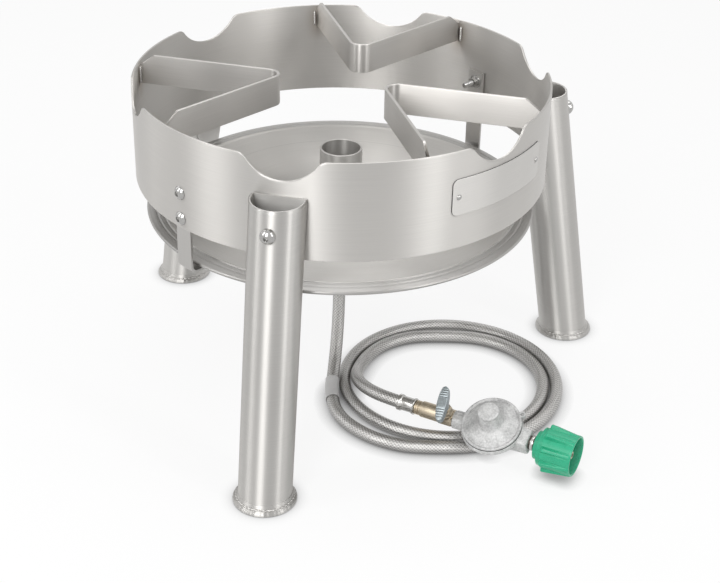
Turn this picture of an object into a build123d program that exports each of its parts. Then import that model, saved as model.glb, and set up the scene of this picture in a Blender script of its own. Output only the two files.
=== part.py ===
from build123d import *
from math import acos, asin, atan2, cos, degrees, pi, radians, sin, sqrt, tan
import os

# Outdoor jet cooker. Millimetres, origin on the ring's axis at the floor, +Z up.

# Windscreen ring
ring_od = 406.0
ring_wall = 2.0
ring_top = 322.0
ring_height = 96.0
notch_half_width = 41.0
notch_depth = 20.5
notch_shoulder = 10.0
first_leg_azimuth = 15.0
leg_azimuths = {
    "right": first_leg_azimuth,
    "rear": first_leg_azimuth + 120.0,
    "front": first_leg_azimuth + 240.0,
}
support_azimuths = {
    "rear": first_leg_azimuth + 60.0,
    "left": first_leg_azimuth + 180.0,
    "right": first_leg_azimuth + 300.0,
}

# Pot supports
bar_height = 30.0
bar_thickness = 3.0
bar_rise = 8.0
bar_bend = 10.0
bar_apex = 62.0
bar_half_angle = 30.3
bar_chamfer_run = 15.5
bar_chamfer_drop = 12.0
weld_gap = 0.2

# Legs and feet
leg_od = 50.8
leg_wall = 1.6
leg_splay = 9.6
foot_overhang = 55.0
leg_top_drop = 34.5
plate_thickness = 1.5
plate_gap = 0.15
foot_radius = 30.2
foot_thickness = 4.0
foot_floor = 1.6
foot_collar = 27.6
foot_collar_height = 9.0

# Fasteners
bolt_diameter = 6.0
bolt_clearance = 0.3
head_diameter = 13.4
head_height = 4.6
washer_diameter = 14.0
washer_thickness = 1.4
nut_flats = 10.0
nut_thickness = 5.0
bolt_tail = 3.0
strap_bolt_tail = 12.0
leg_bolt_drop = 56.5

# Hanger straps
strap_width = 20.0
strap_thickness = 2.5
strap_bend = 5.0
strap_top_drop = 49.0
strap_lap = 73.0
strap_azimuths = {"left": -136.0, "right": 44.0}
strap_bolt_drop = 60.5
strap_bolt_pitch = 25.7

# Burner pan and tube
pan_floor = 184.0
pan_sheet = 1.5
pan_rim_clearance = 7.0
pan_rim_width = 6.5
pan_crest_width = 9.7
pan_ledge_width = 6.5
pan_cone_width = 25.3
pan_cone_rise = 5.0
pan_crest_rise = 7.8
pan_groove_rise = 6.0
pan_bead = 1.9
burner_od = 42.4
burner_wall = 2.2
burner_top = 245.0
burner_bottom = 158.0

# Jet under the burner
bracket_width = 18.0
bracket_sheet = 2.5
bracket_lap = 16.0
bracket_drop = 20.0
jet_thread = 10.0
jet_flats = 15.0
jet_hex = 7.0
jet_stub = 12.5
jet_stub_diameter = 11.0
jet_bore = 4.0
jet_tip = 11.0
swivel_flats = 17.0
swivel_length = 14.0
swivel_lip = 2.2
stem_diameter = 9.0
thread_gap = 0.15

# Hose
hose_od = 13.0
hose_lift = 0.1
hose_straight = 13.0
ferrule_od = 16.6
ferrule_sleeve = 11.0
ferrule_solid = 8.0
ferrule_gap = 0.05
sleeve_od = 14.6

# Coil on the floor, laid from half turns
coil_axis_y = -54.5
coil_right_x = 226.6
coil_lead_radius = 120.0
coil_outer_radius = 110.0
coil_step = 7.0
coil_end_radius = 87.0

# Gas line: valve, regulator and coupling on one pipe axis
pipe_centre = Vector(150.5, -174.7, 27.0)
pipe_heading = -28.4
pipe_slope = 0.0
pipe_roll = 32.0
reg_roll = 26.5
hose_end_x = -91.0
valve_start_x = -83.0
valve_root = 6.5
valve_root_od = 14.4
valve_barrel = 16.0
valve_hex_start_x = -56.0
valve_hex_flats = 16.0
valve_hex_gap = 0.4
valve_thread_end_x = -30.0
valve_thread = 12.0
valve_bore = 7.0
stem_x = -48.5
stem_rod = 6.0
stem_fit = 0.05
stem_depth = 6.0
bonnet_seat_z = 11.5
bonnet_boss = 13.6
bonnet_flats = 13.0
bonnet_height = 8.0
lever_gap = 0.8
lever_length = 36.4
lever_width = 9.8
lever_height = 8.5
lever_hub = 11.0
lever_hub_height = 2.7
lever_rest = 11.0
lever_screw_head = 6.4
lever_screw_rod = 3.0

# Regulator, on its own axis across the pipe
reg_flange_radius = 29.4
reg_flange_z = 10.0
reg_flange_thickness = 6.0
reg_bowl_radius = 23.5
reg_bowl_depth = 10.0
reg_foot_radius = 15.0
reg_wall = 2.6
reg_boss_flats = 17.2
reg_outlet_x = -41.0
reg_inlet_x = 38.7
reg_inlet_od = 19.0
diaphragm_thickness = 1.0
cover_lip = 3.2
cover_radius = 29.7
cover_cone_radius = 25.0
cover_cone_height = 6.2
cover_tower_base = 12.8
cover_tower_radius = 10.4
cover_tower_height = 13.6
cover_wall = 2.2
cap_height = 3.4
cap_skirt = 4.0
adjuster_thickness = 3.0
diaphragm_plate_radius = 15.0
diaphragm_plate_thickness = 1.4
spring_od = 13.0
spring_wire = 1.5
vent_radius = 3.4
vent_bore = 1.8
vent_rise = 1.2
vent_angle = 37.0
vent_offset = 1.0

# Coupling nut and nipple
nipple_od = 11.8
nipple_root = 9.0
nipple_probe = 10.0
nipple_tip_x = 81.5
nut_start_x = 46.0
nut_back = 5.0
nut_length = 39.6
nut_gap = 0.3
nut_collar_radius = 14.0
nut_step_radius = 18.5
nut_step = 5.0
nut_radius_back = 23.8
nut_radius_mouth = 20.4
nut_socket_radius = 17.8
nut_ribs = 9
nut_turn = 11.3
nut_flute = 8.0
nut_flute_floor = 21.4
bushing_thickness = 4.0
collar_thickness = 3.0
collar_radius = 11.0
seal_wire = 1.2

# Name plate
name_azimuth = -43.0
name_half_angle = 18.0
name_drop = 26.5
name_plate_height = 36.0
name_corner = 6.0
name_thickness = 0.8
name_gap = 0.1
rivet_half_angle = 16.0
rivet_head = 5.2
rivet_rise = 1.6
rivet_shank = 3.0

# Worked out from the sizes above
ring_r = ring_od / 2
ring_inner = ring_r - ring_wall
ring_bottom = ring_top - ring_height
foot_circle = ring_r + foot_overhang
leg_top = ring_top - leg_top_drop
leg_bolt_height = ring_top - leg_bolt_drop
strap_top = ring_top - strap_top_drop
strap_foot = ring_inner - strap_lap
strap_bolt_high = ring_top - strap_bolt_drop
strap_bolt_heights = (strap_bolt_high, strap_bolt_high - strap_bolt_pitch)
pan_rim_radius = ring_inner - pan_rim_clearance
pan_groove_radius = pan_rim_radius - pan_rim_width
pan_crest_radius = pan_groove_radius - pan_crest_width
pan_cone_radius = pan_crest_radius - pan_ledge_width
pan_floor_radius = pan_cone_radius - pan_cone_width
name_high = ring_top - name_drop
name_low = name_high - name_plate_height
bar_top = ring_top + bar_rise
bar_bottom = bar_top - bar_height
splay = radians(leg_splay)
plate_x = ring_r + plate_gap
hose_z = hose_od / 2 + hose_lift
pan_under = pan_floor - pan_sheet
bracket_top = burner_bottom - bracket_drop
bracket_base = bracket_top - bracket_sheet
jet_hex_base = bracket_base - jet_hex
jet_stub_base = jet_hex_base - jet_stub
swivel_base = jet_stub_base - swivel_lip - thread_gap
drop_top = swivel_base - ferrule_solid - thread_gap
MIN = (Align.CENTER, Align.CENTER, Align.MIN)
parts = {}


def post(diameter, low, high):
    """Upright round bar."""
    return Pos(0, 0, low) * Cylinder(diameter / 2, high - low, align=MIN)


def rod(diameter, start, end):
    """Round bar along X."""
    return Pos(start, 0, 0) * Rot(0, 90, 0) * Cylinder(diameter / 2, end - start, align=MIN)


def hex_post(flats, low, high):
    """Upright hexagon bar."""
    shape = RegularPolygon(flats / 2, 6, major_radius=False)
    return Pos(0, 0, low) * extrude(shape, high - low)


def hex_rod(flats, start, end):
    """Hexagon bar along X."""
    shape = RegularPolygon(flats / 2, 6, major_radius=False)
    return Pos(start, 0, 0) * Rot(0, 90, 0) * extrude(shape, end - start)


def common(one, two):
    """Solid that two solids share."""
    return Part() + (one & two)


def around(azimuth, height=0.0):
    """Frame with X pointing out from the ring's axis."""
    return Location((0, 0, height), (0, 0, azimuth))


def turned(points):
    """Solid turned about Z from (radius, height) points."""
    outline = Polyline(*[(r, 0, z) for r, z in points], close=True)
    return revolve(make_face(outline), Axis.Z)


def headed(head_radius, rise, shank_radius, seat, tip):
    """Dome-headed pin turned about X: the head stands on X = seat, the shank ends at X = tip."""
    ball = (head_radius ** 2 + rise ** 2) / (2 * rise)
    centre = seat + rise - ball
    half_turn = atan2(head_radius, ball - rise) / 2
    middle = (centre + ball * cos(half_turn), ball * sin(half_turn))
    outline = Polyline(
        (seat + rise, 0), (tip, 0), (tip, shank_radius), (seat, shank_radius), (seat, head_radius)
    )
    outline += ThreePointArc((seat, head_radius), middle, (seat + rise, 0))
    return revolve(make_face(outline), Axis.X)


def dome_bolt(seat, tip):
    """Dome head outside the seat, plain shank inwards to the tip."""
    return headed(head_diameter / 2, head_height, bolt_diameter / 2, seat, tip)


def washer(start, end):
    """Flat washer along X."""
    return rod(washer_diameter, start, end) - rod(bolt_diameter + 2 * bolt_clearance, start - 1, end + 1)


def hex_nut(start, end):
    """Plain nut along X, bored clear of the thread."""
    return hex_rod(nut_flats, start, end) - rod(bolt_diameter + 2 * thread_gap, start - 1, end + 1)


def fillet_radii(points):
    """Bend radius at each corner of a route: 0.45 of the shorter run over tan of half the turn."""
    radii = []
    for before, here, after in zip(points, points[1:], points[2:]):
        one = here - before
        two = after - here
        turn = acos(one.normalized().dot(two.normalized()))
        radii.append(0.45 * min(one.length, two.length) / tan(turn / 2))
    return radii


def tube_along(path, diameter):
    """Round tube swept along a path."""
    start = Plane(path @ 0, z_dir=path % 0)
    return sweep(start * Circle(diameter / 2), path)


# Windscreen ring with its scalloped top edge
notch_bowl = (notch_half_width ** 2 + notch_depth ** 2) / (2 * notch_depth) - notch_shoulder
notch_turn = asin(notch_half_width / (notch_bowl + notch_shoulder))
notch_join_y = notch_half_width - notch_shoulder * sin(notch_turn)
notch_join_z = -notch_shoulder + notch_shoulder * cos(notch_turn)
shoulder_mid_y = notch_half_width - notch_shoulder * sin(notch_turn / 2)
shoulder_mid_z = -notch_shoulder + notch_shoulder * cos(notch_turn / 2)
notch_line = ThreePointArc(
    (0, -notch_half_width, 0), (0, -shoulder_mid_y, shoulder_mid_z), (0, -notch_join_y, notch_join_z)
)
notch_line += ThreePointArc(
    (0, -notch_join_y, notch_join_z), (0, 0, -notch_depth), (0, notch_join_y, notch_join_z)
)
notch_line += ThreePointArc(
    (0, notch_join_y, notch_join_z), (0, shoulder_mid_y, shoulder_mid_z), (0, notch_half_width, 0)
)
notch_line += Polyline(
    (0, notch_half_width, 0), (0, notch_half_width, 5), (0, -notch_half_width, 5), (0, -notch_half_width, 0)
)
notch_cut = extrude(make_face(notch_line), ring_od, dir=(1, 0, 0))
ring = post(ring_od, ring_bottom, ring_top) - post(2 * ring_inner, ring_bottom - 1, ring_top + 1)
for index in range(6):
    ring -= around(first_leg_azimuth + 60.0 * index, ring_top) * notch_cut
bolt_hole = rod(bolt_diameter + 2 * bolt_clearance, ring_inner - 20, ring_r + 20)
for azimuth in leg_azimuths.values():
    ring -= around(azimuth, leg_bolt_height) * bolt_hole
for azimuth in strap_azimuths.values():
    for height in strap_bolt_heights:
        ring -= around(azimuth, height) * bolt_hole
name_height = (name_low + name_high) / 2
rivet_hole = rod(rivet_shank + 2 * thread_gap, ring_inner - 20, ring_r + 20)
for side in (-1, 1):
    ring -= around(name_azimuth + side * rivet_half_angle, name_height) * rivet_hole
parts["windscreen_ring"] = ring

# Three V-shaped pot supports of flat bar on edge
bend_mid = bar_bend + bar_thickness / 2
half = radians(bar_half_angle)
corner_x = bar_apex + bar_thickness / 2 + bend_mid - bend_mid / sin(half)
reach_x = ring_r + 10
reach_y = (reach_x - corner_x) * tan(half)
v_line = FilletPolyline((reach_x, reach_y), (corner_x, 0), (reach_x, -reach_y), radius=bend_mid)
v_bar = Pos(0, 0, bar_bottom) * extrude(trace(v_line, bar_thickness), bar_height)
bar_end = ring_inner - weld_gap
envelope = turned(
    [
        (0, bar_bottom - 1),
        (bar_end, bar_bottom - 1),
        (bar_end, bar_top - bar_chamfer_drop),
        (bar_end - bar_chamfer_run, bar_top),
        (bar_end - bar_chamfer_run, bar_top + 1),
        (0, bar_top + 1),
    ]
)
v_support = common(v_bar, envelope)
for name, azimuth in support_azimuths.items():
    parts["pot_support_" + name] = around(azimuth) * v_support

# Splayed legs: tube, closing plate against the ring, flared foot
leg_frame = Location((foot_circle, 0, 0), (0, -leg_splay, 0))
leg_length = leg_top / cos(splay)
outer_bar = leg_frame * Cylinder(leg_od / 2, 2 * leg_length + 200)
inner_bar = leg_frame * Cylinder(leg_od / 2 - leg_wall, 2 * leg_length + 200)
leg_slab = Pos(foot_circle, 0, leg_top) * Box(400, 200, 400, align=(Align.CENTER, Align.CENTER, Align.MAX))
above_foot = Pos(foot_circle, 0, foot_floor) * Box(300, 200, 600, align=MIN)
plate_outside = plate_x + plate_thickness
outside = Pos(plate_outside, 0, 0) * Box(400, 200, 800, align=(Align.MIN, Align.CENTER, Align.MIN))
leg_tube = common(common(common(outer_bar - inner_bar, leg_slab), above_foot), outside)
plate_slab = Pos(plate_x, 0, 0) * Box(plate_thickness, 200, 800, align=(Align.MIN, Align.CENTER, Align.MIN))
leg_plate = common(common(outer_bar, leg_slab), plate_slab)
foot = turned(
    [
        (0, 0),
        (foot_radius - 1.2, 0),
        (foot_radius, 1.2),
        (foot_radius, foot_thickness - 1.2),
        (foot_radius - 1.2, foot_thickness),
        (foot_collar + 0.8, foot_thickness),
        (foot_collar, foot_collar_height),
        (0, foot_collar_height),
    ]
)
foot_bore = leg_frame * Cylinder(leg_od / 2 + thread_gap, 200)
foot_room = Pos(foot_circle, 0, foot_floor) * Box(200, 200, 100, align=MIN)
leg_foot = Pos(foot_circle, 0, 0) * foot - common(foot_bore, foot_room)
leg_hole = Pos(0, 0, leg_bolt_height) * rod(bolt_diameter + 2 * bolt_clearance, ring_inner, foot_circle + 60)
leg_tube -= leg_hole
leg_plate -= leg_hole
leg_outside_x = foot_circle - leg_bolt_height * tan(splay) + leg_od / 2 / cos(splay)
saddle_high = leg_outside_x + washer_diameter / 2 * tan(splay) + washer_thickness
saddle = washer(leg_outside_x - 4, saddle_high)
saddle = Pos(0, 0, leg_bolt_height) * saddle - leg_frame * Cylinder(leg_od / 2 + thread_gap, 2 * leg_length + 200)
inner_seat = sqrt(ring_inner ** 2 - (washer_diameter / 2) ** 2) - thread_gap
leg_bolt = dome_bolt(saddle_high, inner_seat - washer_thickness - nut_thickness - bolt_tail)
leg_washers = []
leg_bolts = []
leg_nuts = []
for name, azimuth in leg_azimuths.items():
    parts["leg_tube_" + name] = around(azimuth) * leg_tube
    parts["leg_plate_" + name] = around(azimuth) * leg_plate
    parts["leg_foot_" + name] = around(azimuth) * leg_foot
    spot = around(azimuth, leg_bolt_height)
    leg_washers.append(around(azimuth) * saddle)
    leg_washers.append(spot * washer(inner_seat - washer_thickness, inner_seat))
    leg_bolts.append(spot * leg_bolt)
    leg_nuts.append(spot * hex_nut(inner_seat - washer_thickness - nut_thickness, inner_seat - washer_thickness))
parts["leg_bolts"] = Compound(leg_bolts)
parts["leg_washers"] = Compound(leg_washers)
parts["leg_nuts"] = Compound(leg_nuts)

# Hanger straps: down inside the ring, then inwards under the pan
strap_outside = sqrt(ring_inner ** 2 - (strap_width / 2) ** 2) - thread_gap
strap_mid_x = strap_outside - strap_thickness / 2
strap_mid_z = pan_under - strap_thickness / 2
strap_line = FilletPolyline(
    (strap_mid_x, 0, strap_top),
    (strap_mid_x, 0, strap_mid_z),
    (strap_foot, 0, strap_mid_z),
    radius=strap_bend + strap_thickness / 2,
)
strap_start = Plane(strap_line @ 0, x_dir=(0, 1, 0), z_dir=strap_line % 0)
strap = sweep(strap_start * Rectangle(strap_width, strap_thickness), strap_line)
for height in strap_bolt_heights:
    strap -= Pos(0, 0, height) * bolt_hole
strap_inside = strap_outside - strap_thickness
strap_bolt = dome_bolt(
    ring_r + bolt_clearance / 2, strap_inside - washer_thickness - nut_thickness - strap_bolt_tail
)
strap_bolts = []
strap_washers = []
strap_nuts = []
for name, azimuth in strap_azimuths.items():
    parts["hanger_strap_" + name] = around(azimuth) * strap
    for height in strap_bolt_heights:
        spot = around(azimuth, height)
        strap_bolts.append(spot * strap_bolt)
        strap_washers.append(spot * washer(strap_inside - washer_thickness, strap_inside))
        nut_end = strap_inside - washer_thickness
        strap_nuts.append(spot * hex_nut(nut_end - nut_thickness, nut_end))
parts["strap_bolts"] = Compound(strap_bolts)
parts["strap_washers"] = Compound(strap_washers)
parts["strap_nuts"] = Compound(strap_nuts)

# Burner pan: flat floor, shallow cone, beaded and rolled rim
pan_top = [
    (burner_od / 2 + thread_gap, pan_floor),
    (pan_floor_radius, pan_floor),
    (pan_cone_radius, pan_floor + pan_cone_rise),
    (pan_crest_radius - 2.5, pan_floor + pan_cone_rise),
    (pan_crest_radius - 0.8, pan_floor + pan_crest_rise - 0.4),
    (pan_crest_radius, pan_floor + pan_crest_rise),
    (pan_crest_radius + 0.8, pan_floor + pan_crest_rise - 0.4),
    (pan_groove_radius, pan_floor + pan_groove_rise),
    (pan_rim_radius - pan_bead, pan_floor + pan_groove_rise),
]
pan_low = [(r, z - pan_sheet) for r, z in reversed(pan_top)]
pan = turned(pan_top + pan_low)
bead_z = pan_floor + pan_groove_rise - pan_sheet / 2
pan += Pos(0, 0, bead_z) * Torus(pan_rim_radius - pan_bead, pan_bead)
parts["burner_pan"] = pan

# Burner tube and the bracket that holds the jet below it
burner_r = burner_od / 2
parts["burner_tube"] = post(burner_od, burner_bottom, burner_top) - post(
    burner_od - 2 * burner_wall, burner_bottom - 1, burner_top + 1
)
arm_x = burner_r + thread_gap + bracket_sheet / 2
bracket_line = FilletPolyline(
    (-arm_x, 0, burner_bottom + bracket_lap),
    (-arm_x, 0, bracket_top - bracket_sheet / 2),
    (arm_x, 0, bracket_top - bracket_sheet / 2),
    (arm_x, 0, burner_bottom + bracket_lap),
    radius=4.0,
)
bracket_start = Plane(bracket_line @ 0, x_dir=(0, 1, 0), z_dir=bracket_line % 0)
bracket = sweep(bracket_start * Rectangle(bracket_width, bracket_sheet), bracket_line)
bracket -= post(jet_thread + 2 * thread_gap, bracket_base - 1, bracket_top + 1)
parts["burner_bracket"] = bracket
jet = hex_post(jet_flats, jet_hex_base, bracket_base)
jet += post(jet_thread, bracket_base, bracket_top + jet_tip - 3)
jet += Pos(0, 0, bracket_top + jet_tip - 3) * Cone(jet_thread / 2, 2.0, 3, align=MIN)
jet += post(jet_stub_diameter, jet_stub_base, jet_hex_base)
jet -= post(jet_bore, jet_stub_base - 1, bracket_top + jet_tip - 3)
jet -= post(1.4, jet_stub_base, bracket_top + jet_tip + 1)
parts["jet_orifice"] = jet
lock_nut = hex_post(jet_flats, bracket_top, bracket_top + nut_thickness)
lock_nut -= post(jet_thread + 2 * thread_gap, bracket_top - 1, bracket_top + nut_thickness + 1)
parts["jet_lock_nut"] = lock_nut
swivel_top = swivel_base + swivel_length
swivel = hex_post(swivel_flats, swivel_base, swivel_top)
swivel -= post(jet_stub_diameter + 2 * stem_fit, jet_stub_base - thread_gap, swivel_top + 1)
swivel -= post(stem_diameter + 2 * stem_fit, swivel_base - 1, jet_stub_base)
parts["hose_swivel_nut"] = swivel


def ferrule(stem_length):
    """Crimped ferrule along Z: skirt over the hose below zero, solid shoulder and stem above it."""
    body = post(ferrule_od, -ferrule_sleeve, ferrule_solid)
    for groove in (-7.5, -4.5, -1.5):
        ring_cut = Pos(0, 0, groove) * Torus(ferrule_od / 2 + 0.4, 0.9)
        body -= ring_cut
    body += post(stem_diameter, ferrule_solid, ferrule_solid + stem_length)
    body -= post(hose_od + 2 * ferrule_gap, -ferrule_sleeve - 1, 0)
    body -= post(jet_bore, -1, ferrule_solid + stem_length + 1)
    return body


parts["ferrule_burner"] = Pos(0, 0, drop_top) * ferrule(swivel_lip + 2 * thread_gap - 0.1)

# Pipe frame: X along the gas line, Z along the valve stem; the regulator leans less about the same line
heading = radians(pipe_heading)
rise = radians(pipe_slope)
along = Vector(cos(rise) * cos(heading), cos(rise) * sin(heading), sin(rise))
level = Vector(sin(heading), -cos(heading), 0)
upright = along.cross(level) * -1
tilted = upright * cos(radians(pipe_roll)) + level * sin(radians(pipe_roll))
pipe = Location(Plane(origin=pipe_centre, x_dir=along, z_dir=tilted))
reg_upward = upright * cos(radians(reg_roll)) + level * sin(radians(reg_roll))
reg_place = Location(Plane(origin=pipe_centre, x_dir=along, z_dir=reg_upward))

# Hose: drop from the burner to the floor, coil, and tail to the valve
coil_start_x = coil_right_x - coil_lead_radius
coil_start_y = coil_axis_y - coil_lead_radius
coil_back_x = coil_right_x - 2 * coil_step - coil_end_radius
coil_back_y = coil_axis_y + coil_end_radius
drop_points = [
    Vector(0, 0, drop_top),
    Vector(0, 0, drop_top - 25),
    Vector(-0.5, -8.5, 54.5),
    Vector(-2, -25, 32.5),
    Vector(-4.5, -49, 15.5),
    Vector(-7, -80, hose_z + 1.0),
    Vector(-3, -112, hose_z + 0.1),
    Vector(10, -137, hose_z),
    Vector(32, -158, hose_z),
    Vector(56, -170, hose_z),
    Vector(coil_start_x - hose_straight - 17.6, coil_start_y, hose_z),
    Vector(coil_start_x - hose_straight, coil_start_y, hose_z),
]
drop_radii = fillet_radii(drop_points)
print("drop bend radii", [round(r, 1) for r in drop_radii])
drop_line = FilletPolyline(*drop_points, radius=drop_radii)
drop = tube_along(drop_line, hose_od)
drop_bends = drop_line.edges().filter_by(GeomType.CIRCLE)
sleeve_bend = drop_bends.sort_by_distance(drop_points[5])[0]
sleeve_plane = Plane(sleeve_bend @ 0, z_dir=sleeve_bend % 0)
sleeve_ring = Circle(sleeve_od / 2) - Circle(hose_od / 2 + ferrule_gap)
parts["hose_drop"] = drop
parts["hose_sleeve"] = sweep(sleeve_plane * sleeve_ring, sleeve_bend)

half_turns = [coil_outer_radius, coil_outer_radius - coil_step]
coil_line = Line(
    (coil_start_x - hose_straight, coil_start_y, hose_z), (coil_start_x, coil_start_y, hose_z)
)
coil_line += CenterArc((coil_start_x, coil_axis_y, hose_z), coil_lead_radius, -90, 90)
turn_x = coil_right_x
for index, radius in enumerate(half_turns):
    toward = -1 if index % 2 == 0 else 1
    centre = (turn_x + toward * radius, coil_axis_y, hose_z)
    coil_line += CenterArc(centre, radius, 180 * index, 180)
    turn_x += toward * 2 * radius
coil_line += CenterArc((coil_back_x, coil_axis_y, hose_z), coil_end_radius, 0, 90)
coil_line += Line(
    (coil_back_x, coil_back_y, hose_z), (coil_back_x - hose_straight, coil_back_y, hose_z)
)
coil_wire = Wire(coil_line.edges())
parts["hose_coil"] = tube_along(coil_wire, hose_od)
coil_spots = [coil_wire @ (index / 300) for index in range(301)]
apart = round(80 / coil_wire.length * 300)
coil_gap = min(
    (coil_spots[one] - coil_spots[two]).length for one in range(301) for two in range(one + apart, 301)
)
print("gap between coil turns", round(coil_gap - hose_od, 2))

tail_end = pipe_centre + along * hose_end_x
tail_points = [
    Vector(coil_back_x - hose_straight, coil_back_y, hose_z),
    Vector(coil_back_x - hose_straight - 24, coil_back_y, hose_z),
    Vector(65.5, 25, hose_z),
    Vector(46, 11, hose_z),
    Vector(31.3, -9, hose_z + 0.3),
    Vector(22.9, -32, 8.6),
    Vector(18.4, -56.4, 13.4),
    Vector(21.5, -80.6, 19.7),
    Vector(32.3, -102.7, 24.4),
    pipe_centre + along * (hose_end_x - 24),
    tail_end,
]
tail_radii = fillet_radii(tail_points)
print("tail bend radii", [round(r, 1) for r in tail_radii])
tail_line = FilletPolyline(*tail_points, radius=tail_radii)
parts["hose_tail"] = tube_along(tail_line, hose_od)
for name, line in (("hose_drop", drop_line), ("hose_coil", coil_wire), ("hose_tail", tail_line)):
    expected = pi * hose_od ** 2 / 4 * line.length
    print(name, "length", round(line.length, 1), "volume ratio", round(parts[name].volume / expected, 4))

# Valve end ferrule and the brass valve
parts["ferrule_valve"] = pipe * (Pos(hose_end_x, 0, 0) * Rot(0, 90, 0) * ferrule(6.0))
valve_root_end = valve_start_x + valve_root
valve = rod(valve_root_od, valve_start_x, valve_root_end)
for share in (0.35, 0.75):
    groove_x = valve_start_x + share * valve_root
    valve -= Pos(groove_x, 0, 0) * Rot(0, 90, 0) * Torus(valve_root_od / 2 + 0.2, 0.8)
valve += rod(valve_barrel, valve_root_end, valve_hex_start_x)
valve += hex_rod(valve_hex_flats, valve_hex_start_x, reg_outlet_x - valve_hex_gap)
valve += rod(valve_thread, valve_hex_start_x, valve_thread_end_x)
valve += Pos(stem_x, 0, 0) * post(bonnet_boss, 0, bonnet_seat_z)
valve -= rod(stem_diameter + 2 * thread_gap, valve_start_x - 1, valve_start_x + 6.2)
valve -= rod(valve_bore, valve_start_x, valve_thread_end_x + 1)
plug_room = stem_rod + 2 * stem_fit
valve -= Pos(stem_x, 0, 0) * post(plug_room + 2.4, -stem_depth - 0.2, bonnet_seat_z + 1)
parts["valve_body"] = pipe * valve
bonnet_top = bonnet_seat_z + bonnet_height
bonnet = hex_post(bonnet_flats, bonnet_seat_z, bonnet_top - 1.5) + post(bonnet_flats - 3, bonnet_top - 1.5, bonnet_top)
bonnet -= post(plug_room, bonnet_seat_z - 1, bonnet_top + 1)
parts["valve_gland_nut"] = pipe * (Pos(stem_x, 0, 0) * bonnet)
lever_base = bonnet_top + lever_gap
lever_seat = lever_base + lever_hub_height
lever_top = lever_seat + lever_height
stem = post(plug_room + 2.4 - 2 * stem_fit, -stem_depth, bonnet_seat_z - 0.3)
stem += post(stem_rod, bonnet_seat_z - 0.3, lever_seat + 4)
stem -= rod(4.5, -10, 10)
stem -= post(lever_screw_rod + 2 * thread_gap, lever_seat - 6, lever_seat + 5)
turned_lever = Pos(stem_x, 0, 0) * Rot(0, 0, lever_rest)
parts["valve_stem"] = pipe * (turned_lever * Rot(0, 0, 90) * stem)
wing_plan = SlotOverall(lever_length, lever_width, rotation=90)
wing = Pos(0, 0, lever_seat) * extrude(wing_plan, lever_height, taper=4)
lever = wing + post(lever_hub, lever_base, lever_seat + 1)
rib_pitch = 3.4
for index in (-4, -3, -2, 2, 3, 4):
    rib_y = index * rib_pitch
    lever -= Pos(0, rib_y, lever_top + 0.4) * Rot(0, 90, 0) * Cylinder(1.1, lever_width + 4)
lever -= post(stem_rod + 2 * stem_fit, lever_base - 1, lever_seat + 4.2)
lever -= post(lever_screw_rod + 2 * thread_gap, lever_seat, lever_top + 1)
lever -= post(lever_screw_head + 2 * bolt_clearance, lever_top - 2.4, lever_top + 1)
parts["valve_lever"] = pipe * (turned_lever * lever)
screw = post(lever_screw_rod, lever_seat - 5.5, lever_top - 2.4) + post(lever_screw_head, lever_top - 2.4, lever_top - 0.4)
screw -= Pos(0, 0, lever_top - 0.4) * Box(lever_screw_head + 1, 1.0, 1.4)
parts["lever_screw"] = pipe * (turned_lever * screw)

# Regulator: bowl with inlet and outlet, clamped diaphragm, cover with cap
flange_low = reg_flange_z - reg_flange_thickness
bowl_bottom = -reg_bowl_depth
bowl = turned(
    [
        (0, bowl_bottom),
        (reg_foot_radius, bowl_bottom),
        (reg_bowl_radius, bowl_bottom + 8),
        (reg_bowl_radius, flange_low),
        (reg_flange_radius, flange_low),
        (reg_flange_radius, reg_flange_z),
        (0, reg_flange_z),
    ]
)
bowl += hex_rod(reg_boss_flats, reg_outlet_x, -reg_bowl_radius + 4)
inlet_block = Box(reg_inlet_x - reg_bowl_radius + 6, reg_inlet_od, reg_inlet_od)
inlet_block = chamfer(inlet_block.edges().filter_by(Axis.X), 2.5)
bowl += Pos((reg_inlet_x + reg_bowl_radius - 6) / 2, 0, 0) * inlet_block
cavity = turned(
    [
        (0, bowl_bottom + reg_wall),
        (reg_foot_radius - 1.5, bowl_bottom + reg_wall),
        (reg_bowl_radius - reg_wall, bowl_bottom + 9),
        (reg_bowl_radius - reg_wall, reg_flange_z + 1),
        (0, reg_flange_z + 1),
    ]
)
bowl -= cavity
bowl -= rod(valve_thread + 2 * thread_gap, reg_outlet_x - 1, valve_thread_end_x + thread_gap)
bowl -= rod(valve_bore, valve_thread_end_x, -reg_bowl_radius + 5)
nipple_start = reg_inlet_x - nipple_root
bowl -= rod(nipple_od + 2 * thread_gap, nipple_start - thread_gap, reg_inlet_x + 1)
bowl -= rod(6.0 + 2 * thread_gap, reg_bowl_radius - 6, nipple_start)
pin_y = 5.0
pin_x = 12.0
for side in (-1, 1):
    ear = Pos(pin_x, side * pin_y, bowl_bottom + reg_wall - 0.5) * Box(4, 2, 8, align=MIN)
    bowl += ear
pin_z = bowl_bottom + reg_wall + 5
pin_bar = Pos(pin_x, 0, pin_z) * Rot(90, 0, 0) * Cylinder(1.0, 2 * pin_y + 2)
pin_hole = Pos(pin_x, 0, pin_z) * Rot(90, 0, 0) * Cylinder(1.0 + stem_fit, 2 * pin_y + 3)
bowl -= pin_hole
parts["regulator_body"] = reg_place * bowl
parts["seat_lever_pin"] = reg_place * pin_bar
seat_arm = Pos(-2, 0, pin_z) * Box(32, 3.0, 2.6, align=(Align.MIN, Align.CENTER, Align.CENTER))
seat_arm = Pos(-15, 0, 0) * seat_arm
seat_arm += Pos(-15, 0, pin_z) * post(3, 0, reg_flange_z - 0.4 - pin_z)
seat_arm += Pos(15.5, 0, pin_z) * Box(3, 3, 6, align=MIN)
seat_arm -= pin_hole
parts["seat_lever"] = reg_place * seat_arm
seat = rod(6.0, reg_bowl_radius - 5.5, nipple_start - 0.3) - rod(2.5, reg_bowl_radius - 7, nipple_start + 1)
parts["inlet_seat"] = reg_place * seat
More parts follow.
